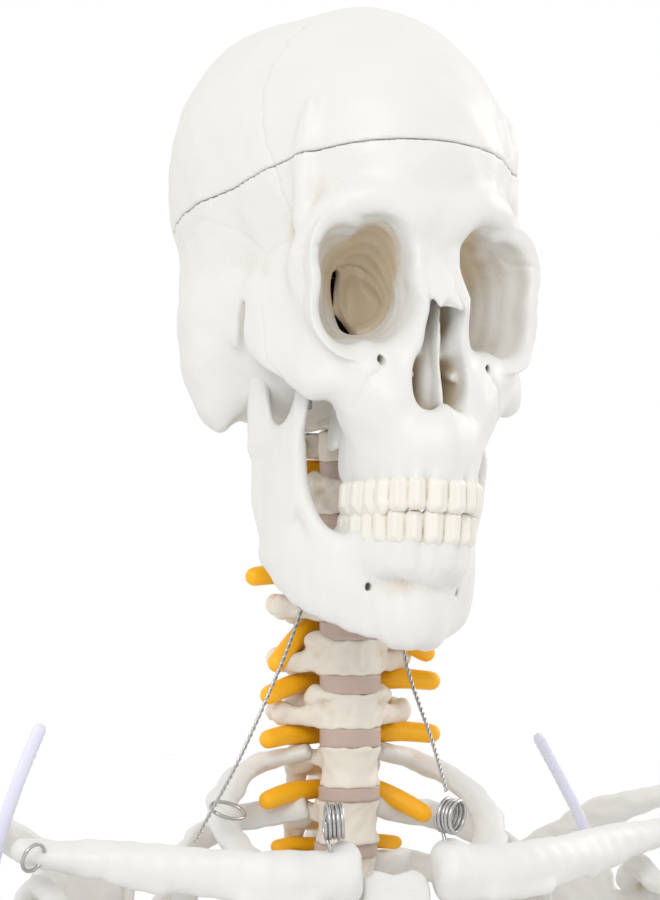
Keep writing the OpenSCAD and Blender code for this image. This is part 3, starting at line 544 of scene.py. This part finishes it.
def model_skull():
    """The whole skull without its teeth, hollow inside."""
    clay = Clay(SKULL_LOW, SKULL_HIGH, HEAD_STEP)
    # Braincase
    clay.add(egg((0, 0, 50), (67, 86, 66)), 4)
    clay.eggs((27, -26, 58), (43, 51, 50), 14)
    clay.add(egg((0, 43, 54), (49, 46, 46)), 14)
    clay.add(egg((0, -50, 26), (50, 38, 38)), 14)
    clay.eggs((28, -14, 10), (40, 52, 36), 12)
    clay.add(egg((0, -27, 0), (46, 52, 24)), 10)
    cavity = clay.field + 5.0
    x, y, z = clay.grid()
    cavity = np.maximum(cavity, -6 - z)
    # Brow and cheeks
    clay.add(egg((0, 80, 36), (20, 11, 10)), 8)
    clay.tubes([(8, 86, 37, 5), (20, 85, 41, 5), (36, 79, 41, 5), (48, 69, 34, 5.5), (53, 61, 22, 5.5)], 7)
    clay.eggs((43, 61, -9), (13, 12, 14), 8)
    clay.eggs((51, 55, -16), (7, 9, 7), 6)
    clay.tubes([(13, 80, -4, 4), (24, 79, -9, 5), (38, 74, -9, 5.5), (48, 68, 0, 6), (53, 63, 12, 5),
                (54, 61, 24, 5)], 5)
    # The temples are filled out and shallow, behind a soft upright ridge
    clay.eggs((49, 34, 14), (11, 28, 16), 10)
    clay.eggs((52, 34, -20), (9, 18, 15), 5, carve=True)
    clay.tubes([(46, 61, 74, 1), (50, 60, 56, 2.4), (53, 60, 36, 3)], 7)
    # Nose bridge and upper jaw
    clay.add(tube([(0, 81, 34, 9, 7), (0, 84, 24, 6.5, 6), (0, 87, 14, 6, 5), (0, 90.5, 7, 6.5, 3.5)]), 5)
    clay.tubes([(9, 82, 24, 5, 8), (13, 80, 8, 6, 9), (18, 76, -8, 7, 9), (20, 73, -24, 9, 10)], 5)
    clay.eggs((21, 62, -16), (20, 19, 25), 8)
    clay.tubes([(24, 44, -38, 5.6, 11), (23.6, 56, -39, 6.4, 12), (20, 72, -39, 7, 12),
                (12, 82.4, -38, 7, 12), (0, 86.6, -38, 7, 12)], 7, side=(0.8, 0.6, 0))
    clay.add(egg((0, 58, -33), (22, 28, 6)), 5)
    # Cheek arch, a deep plate that meets the filled temple
    clay.tubes([(51, 56, -9, 5, 10), (57, 46, -4, 4.4, 12), (62, 34, 1, 4.2, 12), (64, 22, 6, 4.4, 11),
                (64, 10, 8, 4.6, 10), (61, -1, 8, 5, 8)], 8, side=(1, 0.5, 0))
    # Mastoid, pterygoid plates and condyles
    clay.tubes([(56, -16, 8, 13, 18), (56, -17, -6, 12, 17), (55, -15, -18, 9, 12),
                (54, -13, -26, 4, 6)], 8)
    clay.tubes([(15, 38, -5, 3, 9), (16, 38, -22, 2.6, 8), (18, 37, -40, 2.2, 6)], 4)
    clay.tubes([(23, 38, -8, 2.6, 8), (26, 36, -24, 2.2, 7), (29, 35, -36, 1.8, 4)], 3)
    clay.eggs((13, -12, -20), (6, 11, 7), 4, tilt=(0, 0, 20))
    clay.add(tube([(0, 84, -27, 3), (0, 91, -27, 1.5)]), 2)
    for s in (-1, 1):
        for cx, cy, _, _, _, _ in TOOTH_ARCH:
            clay.add(tube([(s * cx, cy - 0.2, UPPER_NECK - 2, 3.8, 3.4),
                           (s * cx * 0.97, cy - 1.4, UPPER_NECK + 6, 3),
                           (s * cx * 0.93, cy - 4.4, UPPER_NECK + 16, 1.8)]), 2)
    clay.field = np.maximum(clay.field, -cavity)
    # Eye sockets with their own walls
    for s in (-1, 1):
        for cone in orbit(s, 5.4):
            clay.add((cone[0], cone[1], behind(cone[2], 80)), 2)
        for cone in orbit(s, 0):
            clay.carve(cone, 4)
    # Nose opening, with its bony partition
    clay.eggs((6.4, 84, -16), (7.6, 26, 9.5), 2.5, carve=True)
    clay.add(egg((0, 66, -14), (6, 10, 18)), 2)
    clay.carve(tube([(0, 98, 9, 3.6), (0, 92, 3, 6), (0, 84, -6, 9)]), 2.5)
    clay.add(tube([(1, 70, 9, 1.3, 9), (-0.6, 71, -6, 1.3, 10), (0.6, 73, -24, 1.5, 10)]), 1.5)
    clay.tubes([(12, 60, -11, 3, 2), (11.6, 74, -14, 2.2, 1.6)], 2)
    # Fissures, small holes and the ear's opening
    clay.tubes([(31, 50, 19, 2.4, 9), (27.5, 48, 10, 4, 9), (23.5, 46, 1, 2.4, 9)], 1.5, carve=True)
    clay.tubes([(28, 90, -12, 1.6), (28, 68, -7, 1.6)], 1, carve=True)
    clay.tubes([(67, 17, 8, 4, 3.2), (65, 16, -1, 5, 4.6), (63.5, 11, -11, 4, 4)], 2.5, carve=True)
    clay.carve(tube([(0, -22, -44, 14, 17), (0, -24, 4, 14, 17)]), 3)
    # Sutures: crown to forehead, cheek to upper jaw, and behind the cheek arch
    groove = suture_line(y, z, x)
    clay.field = np.where(np.abs(clay.field) < 3, clay.field + 0.9 * np.exp(-(groove / 0.9) ** 2), clay.field)
    for s in (-1, 1):
        clay.score([(s * 24, -8), (s * 29, -14), (s * 34, -17), (s * 38, -26)], "front", limit=50)
        clay.score([(s * 44, 30), (s * 49, 27), (s * 58, 25)], "front", limit=45)
    clay.score([(44, -16), (38, -9), (40, 0), (36, 8)], "side", limit=45)
    clay.score([(48, 30), (30, 26), (12, 34), (-8, 40), (-28, 32), (-38, 12)], "side", 0.4, limit=40)
    clay.weather(0.22, 13)
    clay.mass = np.minimum(clay.field, cavity)
    return clay


def behind(distance, limit):
    """A shape cut off in front of a plane across the head."""
    return lambda x, y, z: np.maximum(distance(x, y, z), y - limit)


def suture_line(y, z, x):
    """Distance along y from the zigzag suture that crosses the vault behind the forehead."""
    run = np.sqrt(x * x + (z - 50) ** 2) * np.arctan2(x, z - 40)
    coarse_zigzag = 2.2 * np.abs(np.mod(run / 5.5, 2) - 1)
    fine_zigzag = 1.1 * np.abs(np.mod(run / 2.3 + 0.4, 2) - 1)
    zigzag = coarse_zigzag + fine_zigzag + 1.5 * np.sin(run / 9)
    crown, run_forward, top, drop = 11, 38, 112, 78
    middle_line = crown + run_forward * smooth((top - z) / drop)
    return np.where(z > 20, y - (middle_line + zigzag), 99)


def model_teeth(neck, up, pull):
    """One row of teeth. up is -1 for the upper row, which hangs, and pull draws the row inwards."""
    tip = neck + up * 16
    clay = Clay((-42, 38, min(neck, tip) - 4), (42, 102, max(neck, tip) + 4), TEETH_STEP)
    for s in (-1, 1):
        for k, (cx, cy, width, depth, height, turn) in enumerate(TOOTH_ARCH):
            at = (s * cx * pull, cy - (1 - pull) * 60, neck + up * height * 0.42)
            half = (width * pull / 2 + 0.36, depth / 2, height * 0.66)
            clay.add(block(at, half, 2.5, s * -turn, -0.05 * up), 0.35)
            # Four cusps on each cheek tooth
            if k > 2:
                for a, b in ((-2.2, -2), (2.2, -2), (-2.2, 2), (2.2, 2)):
                    clay.add(egg((at[0] + a, at[1] + b, at[2] + up * height * 0.6), (2.2, 2.2, 2.2)), 1.5)
            # Faint upright ridges on the face of the crown
            out = (s * math.sin(math.radians(turn)) * depth / 2, math.cos(math.radians(turn)) * depth / 2)
            clay.add(tube([(at[0] + out[0], at[1] + out[1], at[2] - height * 0.35, 1.2),
                           (at[0] + out[0], at[1] + out[1], at[2] + height * 0.35, 1.2)], 1), 2)
    return clay


def model_jaw():
    """The lower jaw without its teeth: body, chin, upright branches, hinge knobs and tooth ridge."""
    clay = Clay((-62, -10, -108), (62, 102, 4), HEAD_STEP)
    clay.tubes([(47, 18, -64, 4.5, 13), (44, 32, -73, 5, 14), (35, 48, -79, 5.5, 14.5),
                (20, 58, -83, 6, 15), (9, 67, -84, 6.5, 15), (0, 70, -84, 7, 14)], 6, side=(1, 0.4, 0))
    clay.add(egg((0, 68, -90), (9, 8, 10)), 8)
    clay.eggs((8, 63, -93), (7, 8, 8), 6)
    clay.tubes([(47, 19, -70, 4, 12), (49, 20, -54, 3.6, 18), (49, 20.5, -40, 3.4, 19),
                (49, 21, -32, 3.2, 18.5)], 5)
    clay.tubes([(50, 9, -34, 3.4, 8), (51, 6, -20, 3.4, 5.5), (51.5, 7, -8, 4.6, 4.5)], 4)
    clay.eggs((51.5, 8, -6), (8.5, 5, 4.2), 3)
    clay.tubes([(48, 31, -34, 3.2, 8), (46, 35, -23, 2.6, 6), (45, 37, -13, 1.8, 3)], 4)
    clay.tubes([(48, 37, -38, 3), (45, 39, -54, 3.6), (37, 46, -70, 3)], 4)
    clay.tubes([(26, 42, -70, 6, 9), (23, 56, -71, 6.2, 9.4), (18.6, 70, -71, 6.2, 8.4),
                (10.6, 78.4, -71, 6, 9), (0, 81, -71, 6, 9)], 5, side=(0.8, 0.6, 0))
    for s in (-1, 1):
        for cx, cy, _, _, _, _ in TOOTH_ARCH:
            clay.add(tube([(s * cx * 0.96, cy - 3.4, LOWER_NECK + 2, 3.6, 3.4),
                           (s * cx * 0.94, cy - 5, LOWER_NECK - 8, 2.6)]), 2.2)
    clay.tubes([(27, 82, -84, 1.3), (22, 58, -82, 1.3)], 1, carve=True)
    clay.weather(0.2, 12)
    return clay


def split_skull():
    """The skull in two pieces either side of the saw cut."""
    clay = model_skull()
    x, y, z = clay.grid()
    over = above_cut(y, z)
    pieces = []
    for beyond in (over, -over):
        piece = Clay(SKULL_LOW, SKULL_HIGH, HEAD_STEP)
        piece.mass = clay.mass
        piece.field = np.maximum(clay.field, beyond + CUT_GAP).astype(np.float32)
        pieces.append(piece)
    return pieces


base_clay, cap_clay = split_skull()
SKULL_HOLLOW = 12
sculpt("skull", base_clay, from_life, "head", BONE, ["skull_base"], SKULL_HOLLOW)
sculpt("calvaria", cap_clay, from_life, "calvaria", BONE, ["skull_cap"], SKULL_HOLLOW)
sculpt("jaw_bone", model_jaw(), from_life, "jaw", BONE, ["mandible"], SKULL_HOLLOW)
sculpt("upper_teeth", model_teeth(UPPER_NECK, -1, 1.0), from_life, "head", TEETH)
sculpt("lower_teeth", model_teeth(LOWER_NECK, 1, 0.95), from_life, "jaw", TEETH)

# ---- Spine ----

DISCS = solids_of("intervertebral_discs")
LUMBAR, THORACIC, CERVICAL = 5, 12, 5
# From the middle of a vertebral body back to the middle of the cord's canal
CORD_BACK = 9.4


def add_vertebra(clay, low_disc, high_disc, reach, rise, back, fall, arch, pillar):
    """One vertebra between two discs, in millimetres.

    reach and rise place the tips of its side processes, back and fall the tip of its spine, arch is the
    half-width of the ring behind the body, and pillar the size of its joint knuckles.
    """
    z0, z1 = low_disc[1][2], high_disc[0][2]
    mid, height = (z0 + z1) / 2, z1 - z0
    yc = (low_disc[0][1] + low_disc[1][1] + high_disc[0][1] + high_disc[1][1]) / 4
    half_x = (low_disc[1][0] - low_disc[0][0]) / 2 - 0.1
    half_y = (low_disc[1][1] - low_disc[0][1]) / 2 - 0.1
    ring_y = yc + CORD_BACK
    clay.add(drum((0, yc, mid), half_x, half_y, height), 0.5)
    canal = egg((0, ring_y, mid), (arch - 1.9, 3.0, height * 2))
    clay.tubes([(half_x * 0.7, yc + half_y * 0.55, mid + height * 0.16, 1.3, height * 0.2),
                (arch * 0.92, ring_y - 1.4, mid + height * 0.16, 1.3, height * 0.22)], 1.2)
    clay.tubes([(arch * 0.95, ring_y - 1, mid + height * 0.1, 1.5, height * 0.3),
                (arch * 0.7, ring_y + 2.4, mid, 1.2, height * 0.34),
                (0, ring_y + arch - 0.6, mid - height * 0.12, 1.3, height * 0.32)], 1.2, side=(0, 1, 0))
    knuckle = (pillar, pillar * 0.8, height * 0.34)
    for ahead, up in ((0.2, 0.36), (1.6, -0.34)):
        clay.eggs((arch, ring_y + ahead, mid + height * up), knuckle, 1, tilt=(20, 0, 0))
    clay.tubes([(arch * 0.9, ring_y - 1.2, mid + 0.5, 1.8, 2.1),
                (arch * 0.45 + reach * 0.5, ring_y + rise * 0.35, mid - 0.2, 1.5, 1.8),
                (reach - 1.8, ring_y + rise, mid - 0.4, 1.8, 1.9)], 1.6)
    clay.add(tube([(0, ring_y + arch - 1, mid - 0.4, 1.2, 2.2),
                   (0, ring_y + arch + back * 0.6, mid - fall * 0.6, 0.9, 2),
                   (0, ring_y + arch + back - 1.5, mid - fall, 1.7, 1.6)]), 1.4)
    clay.carve(canal, 0.8)
    return mid, height, yc, half_x, half_y


def clay_round(node, below, above, step):
    """Empty clay, in millimetres, that holds a CAD node's box with room to spare."""
    low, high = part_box(node)
    return Clay(np.array(low) / MM - below, np.array(high) / MM + above, step)


def model_cervical():
    clay = clay_round("cervical_vertebrae", 3, 3, 0.28)
    for k in range(CERVICAL):
        lower, upper = DISCS[LUMBAR + THORACIC + k], DISCS[LUMBAR + THORACIC + k + 1]
        back = 8.5 - k
        mid, height, yc, half_x, half_y = add_vertebra(clay, lower, upper, 13.4, -1.2, back, 2.4, 6.4, 2.6)
        # Hooked upper rims, and front bars that make a hole through each side process
        clay.tubes([(half_x * 0.82, yc - 2, mid + height * 0.44, 0.8),
                    (half_x * 0.98, yc + 1.6, mid + height * 0.56, 1.0),
                    (half_x * 0.7, yc + 3.6, mid + height * 0.5, 0.8)], 0.9)
        clay.tubes([(half_x * 0.8, yc + 0.6, mid - 0.6, 1.4, 2.2), (8.4, yc + 3.2, mid - 1.1, 1.2, 1.8),
                    (11, yc + 5.4, mid - 0.9, 1.5, 1.8)], 1.6)
        clay.eggs((11.8, yc + 5, mid - 0.6), (1.6, 1.4, 2.2), 1.2)
        clay.eggs((half_x + 0.6, yc + 1.6, mid + height * 0.4), (1.6, 2.2, 1.5), 1.6)
        clay.tubes([(8.2, yc + 5.6, mid - 4, 1.0), (8.2, yc + 5.6, mid + 4, 1.0)], 0.6, carve=True)
        # Forked tip of the spine
        clay.eggs((1.4, yc + CORD_BACK + back + 5.2, mid - 2.7), (1.1, 1.3, 1.2), 0.8)
        clay.add(tube([(0, yc - half_y * 0.86, mid - height * 0.3, 0.8, 0.5),
                       (0, yc - half_y * 0.8, mid + height * 0.3, 0.8, 0.5)]), 1)
    clay.weather(0.12, 3.2)
    return clay


def model_thoracic():
    clay = clay_round("thoracic_vertebrae", 2, 3, 0.4)
    for k in range(THORACIC):
        reach, rise = (11.8, 2.2) if k < 10 else (8.8, 1)
        add_vertebra(clay, DISCS[LUMBAR + k], DISCS[LUMBAR + k + 1], reach, rise, 7.2, 6, 6.6, 2)
    clay.weather(0.12, 3.6)
    return clay


def model_lumbar():
    clay = clay_round("lumbar_vertebrae", 2, 2, 0.5)
    for k in range(LUMBAR):
        add_vertebra(clay, DISCS[k], DISCS[k + 1], 16.6, 1, 8.6, 2, 7.4, 3)
    clay.weather(0.15, 5)
    return clay


def model_discs():
    clay = clay_round("intervertebral_discs", 1.5, 1.5, 0.4)
    for low, high in DISCS:
        middle, half = (low + high) / 2, (high - low) / 2
        clay.add(drum(middle, half[0] - 0.25, half[1] - 0.25, high[2] - low[2] + 0.3, 0.02, 0.4), 0.1)
    return clay


sculpt("neck_vertebrae", model_cervical(), in_millimetres, TRUNK, NECK_BONE, ["cervical_vertebrae"])
sculpt("chest_vertebrae", model_thoracic(), in_millimetres, TRUNK, NECK_BONE, ["thoracic_vertebrae"])
sculpt("loin_vertebrae", model_lumbar(), in_millimetres, TRUNK, NECK_BONE, ["lumbar_vertebrae"])
sculpt("discs", model_discs(), in_millimetres, TRUNK, DISC, ["intervertebral_discs"])

# How much of the CAD's length the soft stubs show on each side, and where along it they start to droop
STUB_SHOWN = {-1: 0.84, 1: 0.96}
STUB_ROOT = 0.32


def nerve_stubs(node, radius, bent):
    """Soft nerve stubs that droop, with round tips.

    bent gives the droop, in degrees, of stubs picked by level from the lowest and by side.
    """
    stubs = sorted(solids_of(node), key=lambda box: (round(float(box[0][2] + box[1][2])), box[0][0]))
    for k, (low, high) in enumerate(stubs):
        side = 1 if high[0] > 8 and low[0] > -1 else -1
        inner, outer = (low[0], high[0]) if side > 0 else (high[0], low[0])
        start = np.array([inner, high[1] - radius, (low[2] + high[2]) / 2])
        end = np.array([outer - side * radius * 0.4, low[1] + radius, (low[2] + high[2]) / 2])
        end = start + (end - start) * STUB_SHOWN[side]
        length = np.linalg.norm(end - start)
        droop = math.radians(bent.get((k // 2, side), LOOSE.uniform(-1, 5)))
        root = start + (end - start) * STUB_ROOT
        along, down = (end - start) / length, np.array([0, 0, -1])
        tip = root + (along * math.cos(droop) + down * math.sin(droop)) * length * (1 - STUB_ROOT)
        middle = root + (tip - root) * 0.5 + np.array([0, 0, 0.25 * radius])
        path = smooth_path([start, root, middle, tip], 5)
        swell = [radius * (1.12 + 0.12 * math.sin(3 * i / len(path))) for i in range(len(path))]
        pipe(f"{node}_{k:02d}", path, swell, NERVE, [node] if k == 0 else (), sides=16)


nerve_stubs("nerve_roots_neck", 1.5,
            {(3, -1): 38, (3, 1): 24, (2, -1): 12, (2, 1): 0, (1, -1): 2, (1, 1): 0, (0, -1): 8, (0, 1): 25,
             (4, -1): 0, (4, 1): 0})
nerve_stubs("nerve_roots_trunk", 1.1, {})

# ---- Bones that keep the CAD shape, cast again with rounded edges and worn-in detail ----

BODY_OF = {node: body for body, nodes in frame["record"]["behaviour"]["bodies"].items() for node in nodes}


def cast(node, step, material, swell=0.0):
    clay = recast(node, step, swell)
    clay.weather(0.14, 5)
    sculpt(node + "_cast", clay, in_millimetres, BODY_OF[node], material, [node])


for node in ("axis_vertebra", "atlas_vertebra"):
    cast(node, 0.3, NECK_BONE, swell=0.1)
cast("sacrum", 0.5, BONE, swell=0.2)
cast("sternum", 0.4, BONE, swell=0.15)
cast("costal_cartilages", 0.4, CARTILAGE, swell=0.1)
cast("pubic_symphysis", 0.4, CARTILAGE)
# Clay step and swell of the bones that come in pairs
PAIRED = {"ribs": (0.5, 0.45), "scapula": (0.4, 0.2), "hip_bone": (0.5, 0.2), "humerus": (0.5, 0.2),
          "ulna": (0.45, 0.15), "radius": (0.45, 0.15), "hand": (0.4, 0.15), "femur": (0.6, 0.2),
          "patella": (0.5, 0.1), "lower_leg": (0.6, 0.15), "foot": (0.45, 0.15)}
for side in ("_right", "_left"):
    for bone, (step, swell) in PAIRED.items():
        cast(bone + side, step, BONE, swell=swell)

# ---- Collarbones: the same stations as the CAD, with a flared inner end and a flattened outer one ----


def model_clavicle(s):
    clay = Clay((min(s * 5, s * 68), -13, 688), (max(s * 5, s * 68), 24, 711), 0.3)
    clay.add(tube([(s * 10.6, -4, 696.8, 4.4, 5.3), (s * 15, -4.6, 697, 4.1, 5.0),
                   (s * 24, -4, 697.6, 3.5, 4.6),
                   (s * 36, 3, 698.4, 3.2, 4.1), (s * 48, 12, 699.6, 3.4, 3.5), (s * 56, 16, 700.2, 4.2, 2.7),
                   (s * 61.5, 17, 701.2, 3.6, 2.3)], side=(0, 1, 0)), 1)
    clay.add(egg((s * 10, -4.2, 698.2), (2.6, 4.4, 4.4)), 2)
    clay.add(egg((s * 9.2, -4, 701), (1.8, 2.6, 1.8)), 2)
    clay.carve(egg((s * 4.6, -4.4, 696), (2.4, 5, 6)), 1.2)
    clay.add(tube([(s * 17, -6.8, 693.6, 1.4), (s * 28, -4.4, 694, 1.0)]), 2)
    clay.add(tube([(s * 40, 5, 695.6, 1.2), (s * 47, 10.4, 697, 1.2)]), 2)
    clay.weather(0.14, 6)
    return clay


for node, s in (("clavicle_right", -1), ("clavicle_left", 1)):
    sculpt(node + "_cast", model_clavicle(s), in_millimetres, TRUNK, BONE, [node])

# ---- Wires, coils and ties ----


def strands(name, route, gap, pitch, radius, stands_for=()):
    """Two wires twisted round each other along a route in millimetres."""
    base = smooth_path(route, 30)
    u, v = frames_along(base)
    run = np.concatenate([[0], np.cumsum(np.linalg.norm(np.diff(base, axis=0), axis=1))])
    for k in range(2):
        a = 2 * math.pi * run / pitch + k * math.pi
        path = np.array(base) + gap * (np.cos(a)[:, None] * u + np.sin(a)[:, None] * v)
        pipe(f"{name}_{k}", path, radius, WIRE, stands_for if k == 0 else ())


def coil(name, centre, axis, radius, wire, turns, pitch, stands_for=()):
    """A spring about an axis; its turns are a little uneven."""
    axis = np.array(axis) / np.linalg.norm(axis)
    u = np.cross(axis, (0, 0, 1))
    u /= np.linalg.norm(u)
    v = np.cross(axis, u)
    path = []
    per_turn = 20
    for i in range(int(turns * per_turn) + 1):
        a = 2 * math.pi * i / per_turn
        r = radius * (1 + 0.04 * math.sin(a * 0.37))
        along = axis * pitch * (i / per_turn - turns / 2)
        path.append(np.array(centre) + along + r * (math.cos(a) * u + math.sin(a) * v))
    pipe(name, path, wire, WIRE, stands_for)


def ring(name, centre, u, v, wire):
    """An oval wire ring whose half axes are u and v."""
    path = [np.array(centre) + math.cos(a) * np.array(u) + math.sin(a) * np.array(v)
            for a in np.arange(28) * 2 * math.pi / 28]
    pipe(name, path, wire, WIRE, closed=True)


# Half the strands' spacing, length of one twist and strand radius
TWIST = (0.2, 2.6, 0.22)
CLIP_WIRE = 0.34
SPRING_WIRE = 0.36
strands("wire_right", [(-9, 22, 743), (-13.5, 20, 733), (-23.5, 14, 716), (-34, 5, 703.2)], *TWIST,
        ["suspension_wires"])
strands("wire_left", [(9.6, 23, 741), (10.4, 20, 731), (10.6, 8, 719.6), (9.6, -2.6, 711.4)], *TWIST)
ring("wire_right_hook", (-8.8, 22.5, 744.6), (1.2, 0.3, 0.4), (0.2, 0, 1.9), 0.24)
ring("rib_ring", (-26, 12, 707.6), (3.3, 1.4, -0.4), (-0.6, 2.2, 1.3), CLIP_WIRE)
ring("tie_ring_right", (-61, 12, 700.5), (2.2, 1.2, 0.4), (0, 1.4, -2.4), CLIP_WIRE)
coil("coil_right", (-12, -5, 706.9), (0.97, -0.24, 0.02), 2.9, SPRING_WIRE, 4.2, 0.74, ["collar_springs"])
coil("coil_left", (9.6, -5, 707.2), (0.62, -0.78, -0.12), 2.8, SPRING_WIRE, 4.2, 0.74)
for name, route in (("coil_leg_right", [(-12.6, -4.8, 709.6), (-13.6, -4.4, 706), (-13.2, -5.6, 703.4),
                                        (-12.4, -6.4, 700)]),
                    ("coil_leg_left", [(9.8, -3.8, 709.8), (8.4, -3.4, 706.4), (8.6, -4.4, 703.2),
                                       (8.8, -5.6, 700.4)])):
    pipe(name, smooth_path(route, 5), CLIP_WIRE, WIRE)
for name, route in (("tie_right", [(-65, 30, 694), (-63.4, 27, 703), (-60.6, 26, 712), (-56.6, 26, 721.5)]),
                    ("tie_left", [(49, 28, 696), (46.6, 26, 702), (43, 26, 709), (38.2, 26, 717.5)])):
    path = smooth_path(route, 14)
    ribbed = [1.22 + (0.05 if i % 2 else -0.05) for i in range(len(path))]
    pipe(name, path, ribbed, STRAP, ["shoulder_straps"] if name == "tie_right" else (),
         sides=14, flat=0.5)

# ---- Pieces that keep their CAD shape ----

paint(CHROME, "stand_rod", "rod_socket")
paint(STEEL, "pelvic_bracket", "bracket_bolts", "neck_bolt", "jaw_springs")
for side in ("_right", "_left"):
    paint(STEEL, "shoulder_eye" + side, "elbow_pin" + side, "hip_link" + side, "knee_pin" + side)
paint(BOARD, "base_plate")
paint(RUBBER, "base_feet")
paint(NERVE, "spinal_cord")

# ---- Studio ----

# The camera stands on a line turned from the model's front, back, aside and up by these, in metres
VIEW_TURN = math.radians(-18)
ACROSS = Vector((math.cos(VIEW_TURN), math.sin(VIEW_TURN), 0))
AHEAD = Vector((-math.sin(VIEW_TURN), math.cos(VIEW_TURN), 0))
CAMERA_BACK = 0.621
CAMERA_SIDE = -0.01045
CAMERA_HEIGHT = 0.771

camera_data = bpy.data.cameras.new("camera")
camera_data.lens = 142
camera_data.sensor_width = 36
camera_data.clip_start = 0.05
camera = bpy.data.objects.new("camera", camera_data)
camera.location = ACROSS * CAMERA_SIDE - AHEAD * CAMERA_BACK + Vector((0, 0, CAMERA_HEIGHT))
camera.rotation_euler = AHEAD.to_track_quat("-Z", "Y").to_euler()
bpy.context.scene.collection.objects.link(camera)
bpy.context.scene.camera = camera


def soft_light(name, at, size, power):
    data = bpy.data.lights.new(name, "AREA")
    data.shape = "DISK"
    data.size = size
    data.energy = power
    lamp = bpy.data.objects.new(name, data)
    lamp.location = at
    lamp.rotation_euler = (Vector((0, 0, 0.6)) - Vector(at)).to_track_quat("-Z", "Y").to_euler()
    bpy.context.scene.collection.objects.link(lamp)


soft_light("key", (-0.9, -1.3, 1.7), 0.9, 9)
soft_light("rim", (1.4, 0.3, 1.3), 0.8, 5)

world = bpy.data.worlds.new("studio")
world.use_nodes = True
world.node_tree.nodes["Background"].inputs["Color"].default_value = (1, 1, 1, 1)
world.node_tree.nodes["Background"].inputs["Strength"].default_value = 1.0
bpy.context.scene.world = world
bpy.context.scene.view_settings.view_transform = "Standard"

floor_mesh = bpy.data.meshes.new("floor")
FLOOR_REACH = 3.0
floor_corners = [(x * FLOOR_REACH, y * FLOOR_REACH, 0) for x, y in ((-1, -1), (1, -1), (1, 1), (-1, 1))]
floor_mesh.from_pydata(floor_corners, [], [(0, 1, 2, 3)])
floor = bpy.data.objects.new("floor", floor_mesh)
floor_mesh.materials.append(material("floor_pale", (0.85, 0.85, 0.85), 0.7))
bpy.context.scene.collection.objects.link(floor)
